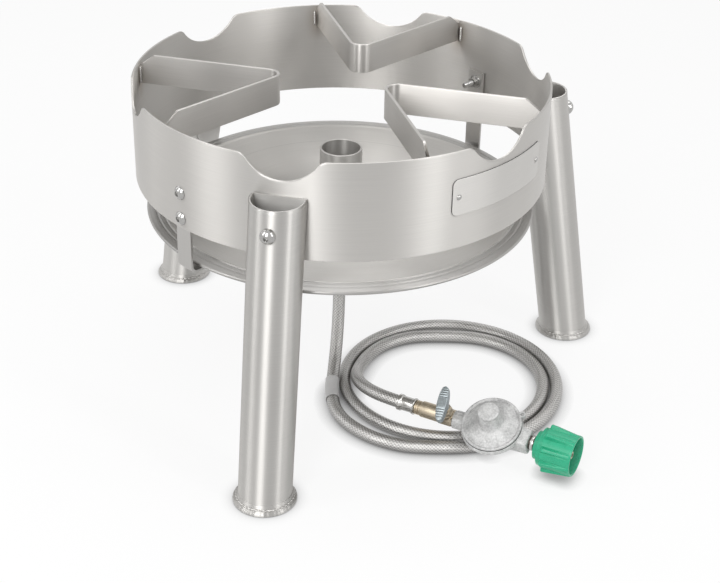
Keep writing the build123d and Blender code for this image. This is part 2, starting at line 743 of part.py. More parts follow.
diaphragm_top = reg_flange_z + diaphragm_thickness
diaphragm = post(2 * reg_flange_radius, reg_flange_z, diaphragm_top)
parts["regulator_diaphragm"] = reg_place * diaphragm
cover_top = diaphragm_top + cover_lip
cone_top = cover_top + cover_cone_height
tower_top = cone_top + cover_tower_height
cover = turned(
    [
        (reg_flange_radius - 5, diaphragm_top),
        (cover_radius - 0.6, diaphragm_top),
        (cover_radius, diaphragm_top + 0.6),
        (cover_radius, cover_top - 0.8),
        (cover_radius - 0.8, cover_top),
        (cover_cone_radius, cover_top),
        (cover_tower_base, cone_top),
        (cover_tower_radius, tower_top),
        (cover_tower_radius - cover_wall, tower_top),
        (cover_tower_radius - cover_wall, cone_top - 2),
        (cover_cone_radius - 2, cover_top - 1.5),
        (reg_flange_radius - 5, cover_top - 1.5),
    ]
)
vent_top = cover_lip + vent_rise
vent = post(2 * vent_radius, 0, vent_top) - post(2 * vent_bore, cover_lip / 2, vent_top + 1)
vent = Rot(0, 0, vent_angle) * Pos(cover_radius + vent_offset, 0, diaphragm_top) * vent
cover += vent
parts["regulator_cover"] = reg_place * cover
plate_top = diaphragm_top + diaphragm_plate_thickness
parts["diaphragm_plate"] = reg_place * post(2 * diaphragm_plate_radius, diaphragm_top, plate_top)
adjuster_low = tower_top - cap_skirt - adjuster_thickness
bore_r = cover_tower_radius - cover_wall - thread_gap
parts["regulator_adjuster"] = reg_place * (post(2 * bore_r, adjuster_low, adjuster_low + adjuster_thickness) - post(4, 0, 100))
spring_tube = post(spring_od, plate_top, adjuster_low) - post(spring_od - 2 * spring_wire, 0, 100)
parts["regulator_spring"] = reg_place * spring_tube
cap = post(2 * cover_tower_radius, tower_top, tower_top + cap_height)
cap = chamfer(cap.edges().sort_by(Axis.Z)[-1], 1.0)
cap += post(2 * bore_r, tower_top - cap_skirt + 0.2, tower_top)
cap -= Pos(0, 0, tower_top + cap_height) * Box(13, 1.8, 2.0)
parts["regulator_cap"] = reg_place * cap

# Inlet nipple, bushing, seal and the free-turning coupling nut
socket_start = nut_start_x + nut_back
collar_start = socket_start + nut_gap + bushing_thickness + nut_gap
nipple = rod(nipple_od, nipple_start, collar_start)
nipple += rod(2 * collar_radius, collar_start, collar_start + collar_thickness)
nipple += rod(nipple_probe, collar_start + collar_thickness, nipple_tip_x - 4)
nipple += Pos(nipple_tip_x - 4, 0, 0) * Rot(0, 90, 0) * Cone(nipple_probe / 2, nipple_probe / 2 - 1.6, 4, align=MIN)
seal_x = nipple_tip_x - 7
groove = Pos(seal_x, 0, 0) * Rot(0, 90, 0) * Torus(nipple_probe / 2, seal_wire + 0.02)
nipple -= groove
nipple -= rod(4.0, nipple_start - 1, nipple_tip_x + 1)
parts["inlet_nipple"] = pipe * nipple
parts["nipple_seal"] = pipe * (Pos(seal_x, 0, 0) * Rot(0, 90, 0) * Torus(nipple_probe / 2, seal_wire))
bushing = rod(2 * nut_socket_radius - 6, socket_start + nut_gap, socket_start + nut_gap + bushing_thickness)
bushing -= rod(nipple_od + 2 * stem_fit, socket_start - 1, collar_start + 1)
parts["coupling_bushing"] = pipe * bushing
nut_end_x = nut_start_x + nut_length
nut_outline = [
    (nut_start_x, nipple_od / 2 + nut_gap),
    (nut_start_x, nut_collar_radius),
    (nut_start_x + nut_step, nut_collar_radius),
    (nut_start_x + nut_step, nut_step_radius),
    (nut_start_x + 2 * nut_step, nut_step_radius),
    (nut_start_x + 2 * nut_step, nut_radius_back),
    (nut_end_x - 1, nut_radius_mouth),
    (nut_end_x, nut_radius_mouth - 1),
    (nut_end_x, nut_socket_radius),
    (socket_start, nut_socket_radius),
    (socket_start, nipple_od / 2 + nut_gap),
]
nut = revolve(make_face(Polyline(*nut_outline, close=True)), Axis.X)
flute_start = nut_start_x + 2 * nut_step - 1
flute_angle = degrees(atan2(nut_radius_mouth - nut_flute_floor, nut_length - 2 * nut_step))
for index in range(nut_ribs):
    flute = Pos(flute_start, 0, nut_flute_floor + nut_flute) * Rot(0, 90 - flute_angle, 0)
    flute = Rot(360.0 * index / nut_ribs + nut_turn, 0, 0) * flute * Cylinder(nut_flute, 60, align=MIN)
    nut -= flute
parts["coupling_nut"] = pipe * nut

# Bare name plate with its two rivets
shell = post(2 * (ring_r + name_gap + name_thickness), name_low - 5, name_high + 5)
shell -= post(2 * (ring_r + name_gap), name_low - 6, name_high + 6)
name_width = 2 * (ring_r + name_gap) * sin(radians(name_half_angle))
name_face = RectangleRounded(name_width, name_high - name_low, name_corner)
name_block = extrude(Plane((0, 0, 0), x_dir=(0, 1, 0), z_dir=(1, 0, 0)) * name_face, ring_od)
plate = common(around(name_azimuth, name_height) * name_block, shell)
rivets = []
for side in (-1, 1):
    spot = around(name_azimuth + side * rivet_half_angle, name_height)
    plate -= spot * rivet_hole
    rivet_seat = ring_r + name_gap + name_thickness + 0.1
    rivet = headed(rivet_head / 2, rivet_rise, rivet_shank / 2, rivet_seat, ring_inner - 1.5)
    rivets.append(spot * rivet)
parts["name_plate"] = plate
parts["name_rivets"] = Compound(rivets)

os.makedirs("parts", exist_ok=True)
for name, shape in parts.items():
    export_step(shape, "parts/" + name + ".step")
print(len(parts), "nodes")
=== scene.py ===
# %% [markdown]
# # An outdoor jet cooker
# A tripod gas cooker stands on a pale floor: a notched steel windscreen, three bent pot supports, a
# shallow pan with a burner tube, three splayed legs, and a braided hose with its valve and regulator.
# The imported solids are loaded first, because every surface made below takes its place from them.

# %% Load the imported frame
from math import asin, cos, pi, radians, sin, sqrt, tan

import bmesh
import bpy
import numpy as np
from mathutils import Matrix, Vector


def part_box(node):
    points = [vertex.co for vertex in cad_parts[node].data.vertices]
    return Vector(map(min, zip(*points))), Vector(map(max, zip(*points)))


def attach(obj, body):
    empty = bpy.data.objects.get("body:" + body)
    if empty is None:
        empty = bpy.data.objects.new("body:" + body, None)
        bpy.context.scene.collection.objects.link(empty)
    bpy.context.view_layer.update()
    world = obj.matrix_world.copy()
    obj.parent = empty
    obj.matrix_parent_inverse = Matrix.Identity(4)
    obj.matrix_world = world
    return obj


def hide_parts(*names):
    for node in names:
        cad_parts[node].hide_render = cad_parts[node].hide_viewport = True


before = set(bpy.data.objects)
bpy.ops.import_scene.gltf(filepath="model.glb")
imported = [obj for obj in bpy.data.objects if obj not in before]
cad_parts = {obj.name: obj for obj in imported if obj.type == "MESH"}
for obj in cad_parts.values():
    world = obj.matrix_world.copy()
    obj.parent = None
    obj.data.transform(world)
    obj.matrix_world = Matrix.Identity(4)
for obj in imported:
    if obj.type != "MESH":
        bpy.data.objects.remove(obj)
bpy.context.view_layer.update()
MM = 0.001
TURN = 2 * pi
X, Y, Z = np.eye(3)

# %% [markdown]
# ## Camera
# The viewpoint was worked out from the ring's two edges and the three feet, whose shape is known.
# A camera looks down its own -Z, so its matrix holds the right, up and backward directions as columns.

# %% Camera at the viewpoint of the photograph
IMAGE_WIDTH = 720
FOCAL_PIXELS = 1531.48
EYE = np.array([0.0, -1.3912, 0.8780])
YAW, PITCH, ROLL = 0.0156, 0.5207, 0.0208


def swung(first, second, angle):
    """Direction between two square ones: first cos angle + second sin angle."""
    return cos(angle) * first + sin(angle) * second


def put(name, data, right, up, back, spot):
    """Object with its own X, Y and Z along three directions and its origin at a spot."""
    matrix = np.eye(4)
    matrix[:3] = np.column_stack([right, up, back, spot])
    thing = bpy.data.objects.new(name, data)
    bpy.context.collection.objects.link(thing)
    thing.matrix_world = Matrix(matrix.tolist())
    return thing


forward = np.array([sin(YAW) * cos(PITCH), cos(YAW) * cos(PITCH), -sin(PITCH)])
level_right = np.array([cos(YAW), -sin(YAW), 0.0])
level_up = np.cross(level_right, forward)
view_right = swung(level_right, level_up, ROLL)
view_up = swung(level_up, -level_right, ROLL)

camera_data = bpy.data.cameras.new("camera")
camera_data.sensor_width = 36.0
camera_data.lens = FOCAL_PIXELS * camera_data.sensor_width / IMAGE_WIDTH
bpy.context.scene.camera = put("camera", camera_data, view_right, view_up, -forward, EYE)
print("lens", round(camera_data.lens, 2), "mm")

# %% [markdown]
# ## Node helpers
# A finish is a small graph: coordinates, a texture or two, and one shader. These helpers add a node
# and wire its inputs in one call, so that each finish below reads as a short list.


def set_inputs(tree, node, inputs):
    """Gives each input a value, or a wire where the value is another node's socket."""
    for key, value in inputs.items():
        if isinstance(value, bpy.types.NodeSocket):
            tree.links.new(value, node.inputs[key])
        else:
            node.inputs[key].default_value = value


def add_node(tree, kind, inputs=None, **settings):
    """One shader node: settings are its own properties, inputs are values or sockets to wire in."""
    node = tree.nodes.new("ShaderNode" + kind)
    for key, value in settings.items():
        setattr(node, key, value)
    set_inputs(tree, node, inputs or {})
    return node


def new_finish(name):
    """Material with one Principled shader on its output; gives material, tree and shader."""
    material = bpy.data.materials.new(name)
    material.use_nodes = True
    tree = material.node_tree
    return material, tree, tree.nodes["Principled BSDF"]


def colour_steps(tree, value, *stops):
    """Colour ramp over a 0 to 1 value; two stops of (place, grey or colour)."""
    ramp = add_node(tree, "ValToRGB", {"Fac": value})
    for element, (place, colour) in zip(ramp.color_ramp.elements, stops):
        element.position = place
        rgb = (colour,) * 3 if isinstance(colour, float) else colour
        element.color = (*rgb, 1.0)
    return ramp.outputs["Color"]


def shades(tree, value, colour, dark, light, ends):
    """Colour ramp from a darker to a lighter shade of one colour, between two values."""
    low = tuple(c * dark for c in colour)
    high = tuple(min(1.0, c * light) for c in colour)
    return colour_steps(tree, value, (ends[0], low), (ends[1], high))


def spread(tree, value, low, high):
    """Map Range: a 0 to 1 value becomes low to high."""
    return add_node(tree, "MapRange", {"Value": value, "To Min": low, "To Max": high}).outputs["Result"]


def maths(tree, operation, first, second):
    """One sum on two values."""
    return add_node(tree, "Math", {0: first, 1: second}, operation=operation).outputs[0]


def blended(tree, share, first, second):
    """Two values mixed: (1 - share) first + share second."""
    return add_node(tree, "Mix", {0: share, 2: first, 3: second}, data_type="FLOAT").outputs[0]


def multiplied(tree, first, second):
    """Product of two colours."""
    inputs = {0: 1.0, 6: first, 7: second}
    return add_node(tree, "Mix", inputs, data_type="RGBA", blend_type="MULTIPLY").outputs[2]


def mapped(tree, vector, **inputs):
    """Coordinates scaled or turned."""
    return add_node(tree, "Mapping", {"Vector": vector, **inputs}).outputs[0]


def noise(tree, vector, scale, detail):
    """Noise texture, 0 to 1."""
    return add_node(tree, "TexNoise", {"Vector": vector, "Scale": scale, "Detail": detail}).outputs["Fac"]


def bumped(tree, height, strength, distance):
    """Normals tilted by a height, for grain too fine to model."""
    return add_node(tree, "Bump", {"Height": height, "Strength": strength, "Distance": distance}).outputs[0]


def painted(tree, mark):
    """A mark that the mesh carries at its points, 0 to 1."""
    return add_node(tree, "Attribute", attribute_name=mark).outputs["Fac"]


def looked_at(tree):
    """1 for a ray that shows a thing, straight, mirrored or through glass; 0 for one that only lights it."""
    rays = add_node(tree, "LightPath").outputs
    shown = maths(tree, "MAXIMUM", rays["Is Camera Ray"], rays["Is Glossy Ray"])
    return maths(tree, "MAXIMUM", shown, rays["Is Transmission Ray"])


# %% [markdown]
# ## Studio
# Steel shows what stands around it, so the light matters as much as the finish. A pale floor and a
# white surround fill the metal, and six large soft boxes draw the bright bands down the tubes. The
# surround is white where it is seen or mirrored and dimmer as a light, so shadows stay soft. The floor
# glows where it is seen, but less so close to what stands on it, and so keeps a soft shadow there.

# %% Floor, surround and soft boxes
WHITE = (1.0, 1.0, 1.0, 1.0)
SURROUND_LIGHT = 0.42
FLOOR_HALF, FLOOR_GREY = 6.0, 0.86
GLOW_SHARE = 0.86
CONTACT_REACH, CONTACT_GLOW = 0.014, 0.05
AIM = np.array([0.0, 0.0, 0.2])
SOFT_BOXES = {
    "left_box": ((-1.75, -0.65, 1.35), (0.5, 1.5), 10.0),
    "rear_box": ((-1.84, 0.78, 1.3), (0.4, 1.5), 2.5),
    "front_box": ((-0.74, -1.88, 1.45), (0.75, 1.5), 26.0),
    "right_box": ((1.46, -1.31, 1.25), (0.35, 1.5), 10.5),
    "side_box": ((1.88, -0.68, 1.2), (0.3, 1.5), 3.5),
    "top_box": ((0.2, 0.9, 2.3), (1.8, 1.2), 14.0),
}

scene = bpy.context.scene
scene.view_settings.view_transform = "Standard"
scene.world = bpy.data.worlds.new("surround")
scene.world.use_nodes = True
sky = scene.world.node_tree
strength = spread(sky, looked_at(sky), SURROUND_LIGHT, 1.0)
set_inputs(sky, sky.nodes["Background"], {"Color": WHITE, "Strength": strength})

floor_mesh = bpy.data.meshes.new("floor")
floor_corners = np.array([[-1, -1, 0], [1, -1, 0], [1, 1, 0], [-1, 1, 0]]) * FLOOR_HALF
floor_mesh.from_pydata(floor_corners.tolist(), [], [[0, 1, 2, 3]])
floor = bpy.data.objects.new("floor", floor_mesh)
bpy.context.collection.objects.link(floor)
floor_paint = bpy.data.materials.new("floor_paint")
floor_paint.use_nodes = True
paint_tree = floor_paint.node_tree
paint_tree.nodes.remove(paint_tree.nodes["Principled BSDF"])
matt = add_node(paint_tree, "BsdfDiffuse", {"Color": (FLOOR_GREY, FLOOR_GREY, FLOOR_GREY, 1.0)})
nearby = add_node(paint_tree, "AmbientOcclusion", {"Distance": CONTACT_REACH}, samples=8)
glow_level = spread(paint_tree, nearby.outputs["AO"], CONTACT_GLOW, 1.0)
glow = add_node(paint_tree, "Emission", {"Color": WHITE, "Strength": glow_level})
glow_share = spread(paint_tree, looked_at(paint_tree), 0.0, GLOW_SHARE)
blend = add_node(paint_tree, "MixShader", {0: glow_share, 1: matt.outputs[0], 2: glow.outputs[0]})
set_inputs(paint_tree, paint_tree.nodes["Material Output"], {"Surface": blend.outputs[0]})
floor_mesh.materials.append(floor_paint)

for name, (spot, size, watts) in SOFT_BOXES.items():
    lamp_data = bpy.data.lights.new(name, "AREA")
    lamp_data.shape = "RECTANGLE"
    lamp_data.size, lamp_data.size_y = size
    lamp_data.energy = watts
    back = np.array(spot) - AIM
    back /= np.linalg.norm(back)
    across = np.cross(Z, back)
    across /= np.linalg.norm(across)
    put(name, lamp_data, across, np.cross(back, across), back, spot)

# %% [markdown]
# ## Surface helpers
# Every piece is a grid: a function of two parameters gives the points, and neighbouring points make
# quads. The first and last rows may meet or shrink to a point; merging doubles then closes the seam
# or the pole. Each point also carries its own flat coordinates, so a finish can follow the surface.


# %% Lines and outlines
def full_turn(steps):
    """Angles once round, first and last the same place."""
    return np.linspace(0.0, TURN, steps + 1)


def soften(corners, radius, steps=3):
    """Rounds a profile: corner B becomes (1-t)^2 A + 2t(1-t) B + t^2 C, with A and C on its two runs."""
    corners = np.asarray(corners, float)
    here = corners[1:-1]
    back = corners[:-2] - here
    ahead = corners[2:] - here
    back_length = np.linalg.norm(back, axis=1, keepdims=True)
    ahead_length = np.linalg.norm(ahead, axis=1, keepdims=True)
    reach = np.minimum(radius, 0.45 * np.minimum(back_length, ahead_length))
    start = (here + back / back_length * reach)[:, None]
    end = (here + ahead / ahead_length * reach)[:, None]
    t = np.linspace(0.0, 1.0, steps + 1)[None, :, None]
    curve = (1 - t) ** 2 * start + 2 * t * (1 - t) * here[:, None] + t**2 * end
    return np.concatenate([corners[:1], curve.reshape(-1, corners.shape[1]), corners[-1:]])


def run_length(points):
    """Distance along a line of points, starting at 0."""
    steps = np.linalg.norm(np.diff(points, axis=0), axis=1)
    return np.concatenate([[0.0], np.cumsum(steps)])


def rounded_bar(width, thickness, radius):
    """Closed outline of a flat bar with rounded edges, starting in the middle of one side."""
    w, t = width / 2, thickness / 2
    return soften([(0, t), (w, t), (w, -t), (-w, -t), (-w, t), (0, t)], radius)


def hexagon(turn, flats):
    """Radius of a hexagon at an angle: half its width over the cosine of the angle from the nearest flat."""
    return flats / 2 / np.cos((turn + pi / 6) % (pi / 3) - pi / 6)


def hexagonal(flats, start, end):
    """Shape rule: between two heights the radius stays inside a hexagon."""
    return lambda turn, h, r: np.where((h >= start) & (h <= end), np.minimum(r, hexagon(turn, flats)), r)


# %% Grids and pieces
def grid_of(points, u, v):
    """Points with their flat coordinates beside them: (x, y, z, u, v), all in mm."""
    flat = [np.broadcast_to(k, points.shape[:2])[..., None] for k in (u, v)]
    return np.concatenate([points, *flat], axis=2)


def closed_ends(grid):
    """The grid with a point added before its first row and after its last, each in the row's middle."""
    first, last = (np.broadcast_to(row.mean(axis=0), row.shape)[None] for row in (grid[0], grid[-1]))
    return np.concatenate([first, grid, last])


def spanned(origin, *terms):
    """Points origin + amount direction + amount direction and so on; each amount is a grid."""
    for amount, direction in zip(terms[::2], terms[1::2]):
        origin = origin + amount[..., None] * direction
    return origin


def lathe(profile, place, segments=72, shape=None):
    """Turned grid: origin + axis h + r (cos turn x + sin turn y); shape(turn, h, r) may change r."""
    origin, across, beside, axis = place
    profile = np.asarray(profile, float)
    turn = full_turn(segments)[:, None]
    height = np.broadcast_to(profile[:, 0], (segments + 1, len(profile)))
    radius = np.broadcast_to(profile[:, 1], height.shape)
    if shape is not None:
        radius = shape(turn, height, radius)
    points = spanned(origin, height, axis, radius * np.cos(turn), across, radius * np.sin(turn), beside)
    return grid_of(points, turn * profile[:, 1].max(), run_length(profile))


def make_piece(name, grids, finish, nodes=(), body="stand", slot=None, sharp=32.0, marks=None):
    """Mesh object from grids in mm: quads between neighbours, doubles merged, faces turned outward."""
    corners, quads, first = [], [], 0
    for grid in grids:
        rows, columns = grid.shape[:2]
        index = np.arange(rows * columns).reshape(rows, columns) + first
        quad = np.stack([index[:-1, :-1], index[1:, :-1], index[1:, 1:], index[:-1, 1:]], axis=-1)
        corners.append(grid.reshape(-1, 5))
        quads.append(quad.reshape(-1, 4))
        first += rows * columns
    corners = np.concatenate(corners) * MM
    quads = np.concatenate(quads)
    mesh = bpy.data.meshes.new(name)
    mesh.from_pydata(corners[:, :3], [], quads)
    layer = mesh.uv_layers.new(name="flat")
    layer.data.foreach_set("uv", corners[quads.ravel(), 3:].ravel())
    for mark, values in (marks or {}).items():
        mesh.attributes.new(mark, "FLOAT", "POINT").data.foreach_set("value", values.ravel())
    work = bmesh.new()
    work.from_mesh(mesh)
    bmesh.ops.remove_doubles(work, verts=work.verts, dist=2e-6)
    bmesh.ops.recalc_face_normals(work, faces=work.faces)
    work.to_mesh(mesh)
    work.free()
    mesh.shade_smooth()
    mesh.set_sharp_from_angle(angle=radians(sharp))
    mesh.materials.append(finish)
    piece = bpy.data.objects.new(name, mesh)
    bpy.context.collection.objects.link(piece)
    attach(piece, body)
    if nodes:
        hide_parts(*nodes)
    print(name, len(mesh.polygons), "faces")
    return piece


def lathe_piece(name, outline, place, finish, nodes=(), segments=72, shape=None, **more):
    """Piece turned from one outline."""
    return make_piece(name, [lathe(outline, place, segments, shape)], finish, nodes, **more)


def give_wall(piece, thickness):
    """Solidify: the skin gets a wall of a thickness in mm on its inner side."""
    wall = piece.modifiers.new("wall", "SOLIDIFY")
    wall.thickness = thickness * MM
    wall.offset = -1.0
    return wall


# %% [markdown]
# ## Finishes
# The sheet is satin stainless: fine scratches all run one way, so a reflection is drawn out across
# them. The flat coordinates run along the scratches first, so one graph serves every steel piece:
# stretched noise tints and roughens it, a slow cloud keeps large faces from looking even, and the
# shader's anisotropy draws the highlight across the scratches. A mark on the mesh may darken the
# sheet, as heat does beside a weld. Cast and moulded parts have a speckled skin instead.

# %% Steel, brass, zinc and plastic finishes
STAIN = (0.66, 0.60, 0.54)
CLOUD_SCALE = (9.0, 9.0, 1.98)
SCRATCH_SHARE, SCRATCH_STRENGTH, SCRATCH_HEIGHT = 0.3, 0.02, 0.0003
SKIN_HEIGHT = 0.0004
PAN_GRAIN = (10.0, 1800.0)


def brushed(name, colour, roughness, anisotropy, grain=(14.0, 2600.0), stain=None):
    """Satin metal: noise stretched along the scratches changes tint, roughness and height a little."""
    material, tree, shader = new_finish(name)
    flat = add_node(tree, "UVMap", uv_map="flat").outputs[0]
    place = add_node(tree, "TexCoord").outputs["Object"]
    scratch = noise(tree, mapped(tree, flat, Scale=(*grain, 1.0)), 1.0, 3.0)
    drift = noise(tree, mapped(tree, place, Scale=CLOUD_SCALE), 1.0, 2.0)
    wear = blended(tree, SCRATCH_SHARE, drift, scratch)
    tint = shades(tree, wear, colour, 0.85, 1.12, (0.32, 0.68))
    if stain:
        tint = multiplied(tree, tint, colour_steps(tree, painted(tree, stain), (0.0, 1.0), (1.0, STAIN)))
    inputs = {
        "Base Color": tint,
        "Roughness": spread(tree, wear, roughness * 0.75, roughness * 1.25),
        "Normal": bumped(tree, scratch, SCRATCH_STRENGTH, SCRATCH_HEIGHT),
        "Metallic": 1.0,
        "Anisotropic": anisotropy,
        "Anisotropic Rotation": 0.25,
        "Tangent": add_node(tree, "Tangent", direction_type="UV_MAP", uv_map="flat").outputs[0],
    }
    set_inputs(tree, shader, inputs)
    return material


def cast(name, colour, metallic, roughness, speckle, depth, size=700.0, shine=0.5):
    """Cast or moulded surface: fine noise for its skin, a slower one for patches of tint."""
    material, tree, shader = new_finish(name)
    place = add_node(tree, "TexCoord").outputs["Object"]
    skin = noise(tree, place, size, 4.0)
    patch = noise(tree, place, size / 6, 3.0)
    half = maths(tree, "MULTIPLY", maths(tree, "ADD", skin, patch), 0.5)
    inputs = {
        "Base Color": shades(tree, half, colour, 1 - speckle, 1 + speckle, (0.35, 0.65)),
        "Roughness": spread(tree, half, roughness * 0.8, roughness * 1.2),
        "Normal": bumped(tree, skin, depth, SKIN_HEIGHT),
        "Metallic": metallic,
        "Specular IOR Level": shine,
    }
    set_inputs(tree, shader, inputs)
    return material


ring_steel = brushed("ring_steel", (0.595, 0.58, 0.558), 0.52, 0.94, stain="scorch")
leg_steel = brushed("leg_steel", (0.57, 0.558, 0.538), 0.50, 0.96, (20.0, 2200.0))
mill_steel = brushed("mill_steel", (0.58, 0.567, 0.548), 0.5, 0.8)
bar_steel = brushed("bar_steel", (0.52, 0.505, 0.485), 0.40, 0.9)
strap_steel = brushed("strap_steel", (0.54, 0.528, 0.51), 0.42, 0.8)
pan_steel = brushed("pan_steel", (0.505, 0.494, 0.476), 0.42, 0.7, PAN_GRAIN)
# Painted shade: a darker copy of the pan's steel, for its ledge and the crease line.
painted_shade_steel = brushed("painted_shade_steel", (0.38, 0.372, 0.36), 0.42, 0.7, PAN_GRAIN)
plate_satin = brushed("plate_satin", (0.62, 0.607, 0.587), 0.5, 0.9, (30.0, 3000.0))
# Painted shade: near black for the name plate's rim, the shadow gap along its edge.
plate_rim_shade = cast("plate_rim_shade", (0.05, 0.05, 0.05), 0.0, 0.5, 0.2, 0.1)
bolt_steel = cast("bolt_steel", (0.41, 0.405, 0.395), 1.0, 0.17, 0.08, 0.04)
weld_steel = cast("weld_steel", (0.44, 0.43, 0.415), 1.0, 0.36, 0.25, 0.25, size=900.0)
crimp_steel = cast("crimp_steel", (0.52, 0.512, 0.495), 1.0, 0.26, 0.14, 0.08)
brass = cast("brass", (0.52, 0.45, 0.345), 1.0, 0.40, 0.2, 0.14)
# Painted shade: a dark metal for the band in the gaps beside the nipple's collar.
painted_gap_shade = cast("painted_gap_shade", (0.10, 0.085, 0.075), 1.0, 0.45, 0.2, 0.1)
zinc = cast("zinc", (0.53, 0.53, 0.525), 0.15, 0.5, 0.32, 0.7, size=520.0)
lever_zinc = cast("lever_zinc", (0.36, 0.40, 0.415), 0.8, 0.46, 0.2, 0.3, size=600.0)
green_plastic = cast("green_plastic", (0.03, 0.38, 0.21), 0.0, 0.28, 0.06, 0.05, shine=0.35)
label_white = cast("label_white", (0.62, 0.615, 0.61), 0.0, 0.5, 0.04, 0.04)
black_plastic = cast("black_plastic", (0.02, 0.02, 0.02), 0.0, 0.45, 0.2, 0.1)
rubber = cast("rubber", (0.018, 0.018, 0.018), 0.0, 0.65, 0.2, 0.15)
spring_steel = cast("spring_steel", (0.5, 0.5, 0.49), 1.0, 0.25, 0.1, 0.05)

# %% [markdown]
# ## Hose route
# The hose drops from the burner, lies in one and a half loose turns on the floor and rises to the
# valve. Its line is one smooth spline through the same route as the solid: listed points at both
# ends, and the coil's points worked out arc by arc. A control point stands a little outside its arc,
# by one over the cosine of half a step, so that the curve itself keeps the arc's radius.

# %% Hose line on one smooth spline
HOSE_RADIUS = 6.5
FLOOR_Z = 6.6
COIL_Y, COIL_STEP = -54.5, 15
PIPE_CENTRE = np.array([150.5, -174.7, 27.0])
PIPE_HEADING, PIPE_ROLL, REG_ROLL = np.radians([-28.4, 32.0, 26.5])
HOSE_END_X, TAIL_STRAIGHT = -91.0, 24
SPLINE_STEPS, LINE_STEP = 24, 0.9

along = swung(X, Y, PIPE_HEADING)
level = np.cross(along, Z)
stem_axis = swung(Z, level, PIPE_ROLL)
beside = np.cross(stem_axis, along)
reg_axis = swung(Z, level, REG_ROLL)
reg_beside = np.cross(reg_axis, along)
print("stem axis", stem_axis.round(4), "pipe", along.round(4))

drop_points = [
    (0, 0, 105.5), (0, 0, 80.5), (-0.5, -8.5, 54.5), (-2, -25, 32.5), (-4.5, -49, 15.5), (-7, -80, 7.6),
    (-3, -112, 6.7), (10, -137, FLOOR_Z), (32, -158, FLOOR_Z), (56, -170, FLOOR_Z), (76, -174.5, FLOOR_Z),
]
tail_points = [
    (88.6, 32.5, FLOOR_Z), (65.5, 25, FLOOR_Z), (46, 11, FLOOR_Z), (31.3, -9, 6.9), (22.9, -32, 8.6),
    (18.4, -56.4, 13.4), (21.5, -80.6, 19.7), (32.3, -102.7, 24.4),
    PIPE_CENTRE + along * (HOSE_END_X - TAIL_STRAIGHT), PIPE_CENTRE + along * HOSE_END_X,
]
coil_arcs = [(106.6, 120, -90, 0), (116.6, 110, 0, 180), (109.6, 103, 180, 360), (125.6, 87, 360, 450)]
coil_points = []
for centre_x, radius, first_deg, last_deg in coil_arcs:
    reach = radius / cos(radians(COIL_STEP / 2))
    for angle in np.radians(np.arange(first_deg + COIL_STEP / 2, last_deg, COIL_STEP)):
        coil_points.append((centre_x + reach * cos(angle), COIL_Y + reach * sin(angle), FLOOR_Z))
route = np.array(drop_points + coil_points + tail_points) * MM


def spline_line(name, points, resolution):
    """Points read along an open order 3 NURBS curve that is pulled towards the given points."""
    curve = bpy.data.curves.new(name, "CURVE")
    curve.dimensions = "3D"
    curve.resolution_u = resolution
    spline = curve.splines.new("NURBS")
    spline.points.add(len(points) - 1)
    spline.points.foreach_set("co", np.column_stack([points, np.ones(len(points))]).ravel())
    spline.order_u = 3
    spline.use_endpoint_u = True
    holder = bpy.data.objects.new(name, curve)
    mesh = bpy.data.meshes.new_from_object(holder)
    line = np.empty(3 * len(mesh.vertices))
    mesh.vertices.foreach_get("co", line)
    bpy.data.objects.remove(holder)
    bpy.data.curves.remove(curve)
    bpy.data.meshes.remove(mesh)
    return line.reshape(-1, 3)


def even_steps(line, step):
    """The same line with its points an even distance apart."""
    measure = run_length(line)
    marks = np.linspace(0.0, measure[-1], int(round(measure[-1] / step)) + 1)
    return np.column_stack([np.interp(marks, measure, line[:, k]) for k in range(3)])


hose_line = even_steps(spline_line("hose_route", route, SPLINE_STEPS), LINE_STEP * MM)

# %% [markdown]
# ## Braided hose
# Twelve flat bands of wire wind each way round the hose and pass over and under each other. Modelled
# wire by wire it would be far too heavy, so the tube's own surface rises and falls with the weave:
# at each crossing one family is on top, and the height is the cosine across the band that is.

# %% Braided hose
BANDS, BRAID_HEIGHT, BRAID_PITCH = 12, 0.3, 44.0
HOSE_TURN = 48
WIRE_LEAN, WIRE_SCALE = 0.80, 520.0
# The dark wire tone is painted shade in the gaps between wires.
WIRE_SHADE, WIRE_LIGHT = (0.28, 0.272, 0.26), (0.64, 0.63, 0.615)


def round_line(line, radius, turn):
    """Points round a line: line + radius (cos turn across + sin turn beside), both square to the line."""
    tangent = np.gradient(line, axis=0)
    tangent /= np.linalg.norm(tangent, axis=1, keepdims=True)
    slanted = np.array([0.6, 0.3, 0.742])
    across = slanted - (tangent @ slanted)[:, None] * tangent
    across /= np.linalg.norm(across, axis=1, keepdims=True)
    square = np.cross(tangent, across)
    sides = radius * np.cos(turn), across[:, None], radius * np.sin(turn), square[:, None]
    return spanned(line[:, None], *sides)


def tube_grid(line, radius):
    """Tube round a line; the flat coordinates run along it and round it."""
    turn = full_turn(HOSE_TURN)[None]
    return grid_of(round_line(line, radius, turn), run_length(line)[:, None], turn * HOSE_RADIUS)


def braid_height(turn, distance):
    """Weave in 0 to 1: bands at turn + s and turn - s; a checker of the two picks the band on top."""
    left_hand = BANDS * (turn / TURN + distance / BRAID_PITCH)
    right_hand = BANDS * (turn / TURN - distance / BRAID_PITCH)
    over = np.sin(pi * left_hand) * np.sin(pi * right_hand)
    on_top = 1 / (1 + np.exp(-9 * over))
    crown_left = np.abs(np.cos(pi * left_hand))
    crown_right = np.abs(np.cos(pi * right_hand))
    return on_top * crown_left + (1 - on_top) * crown_right, on_top


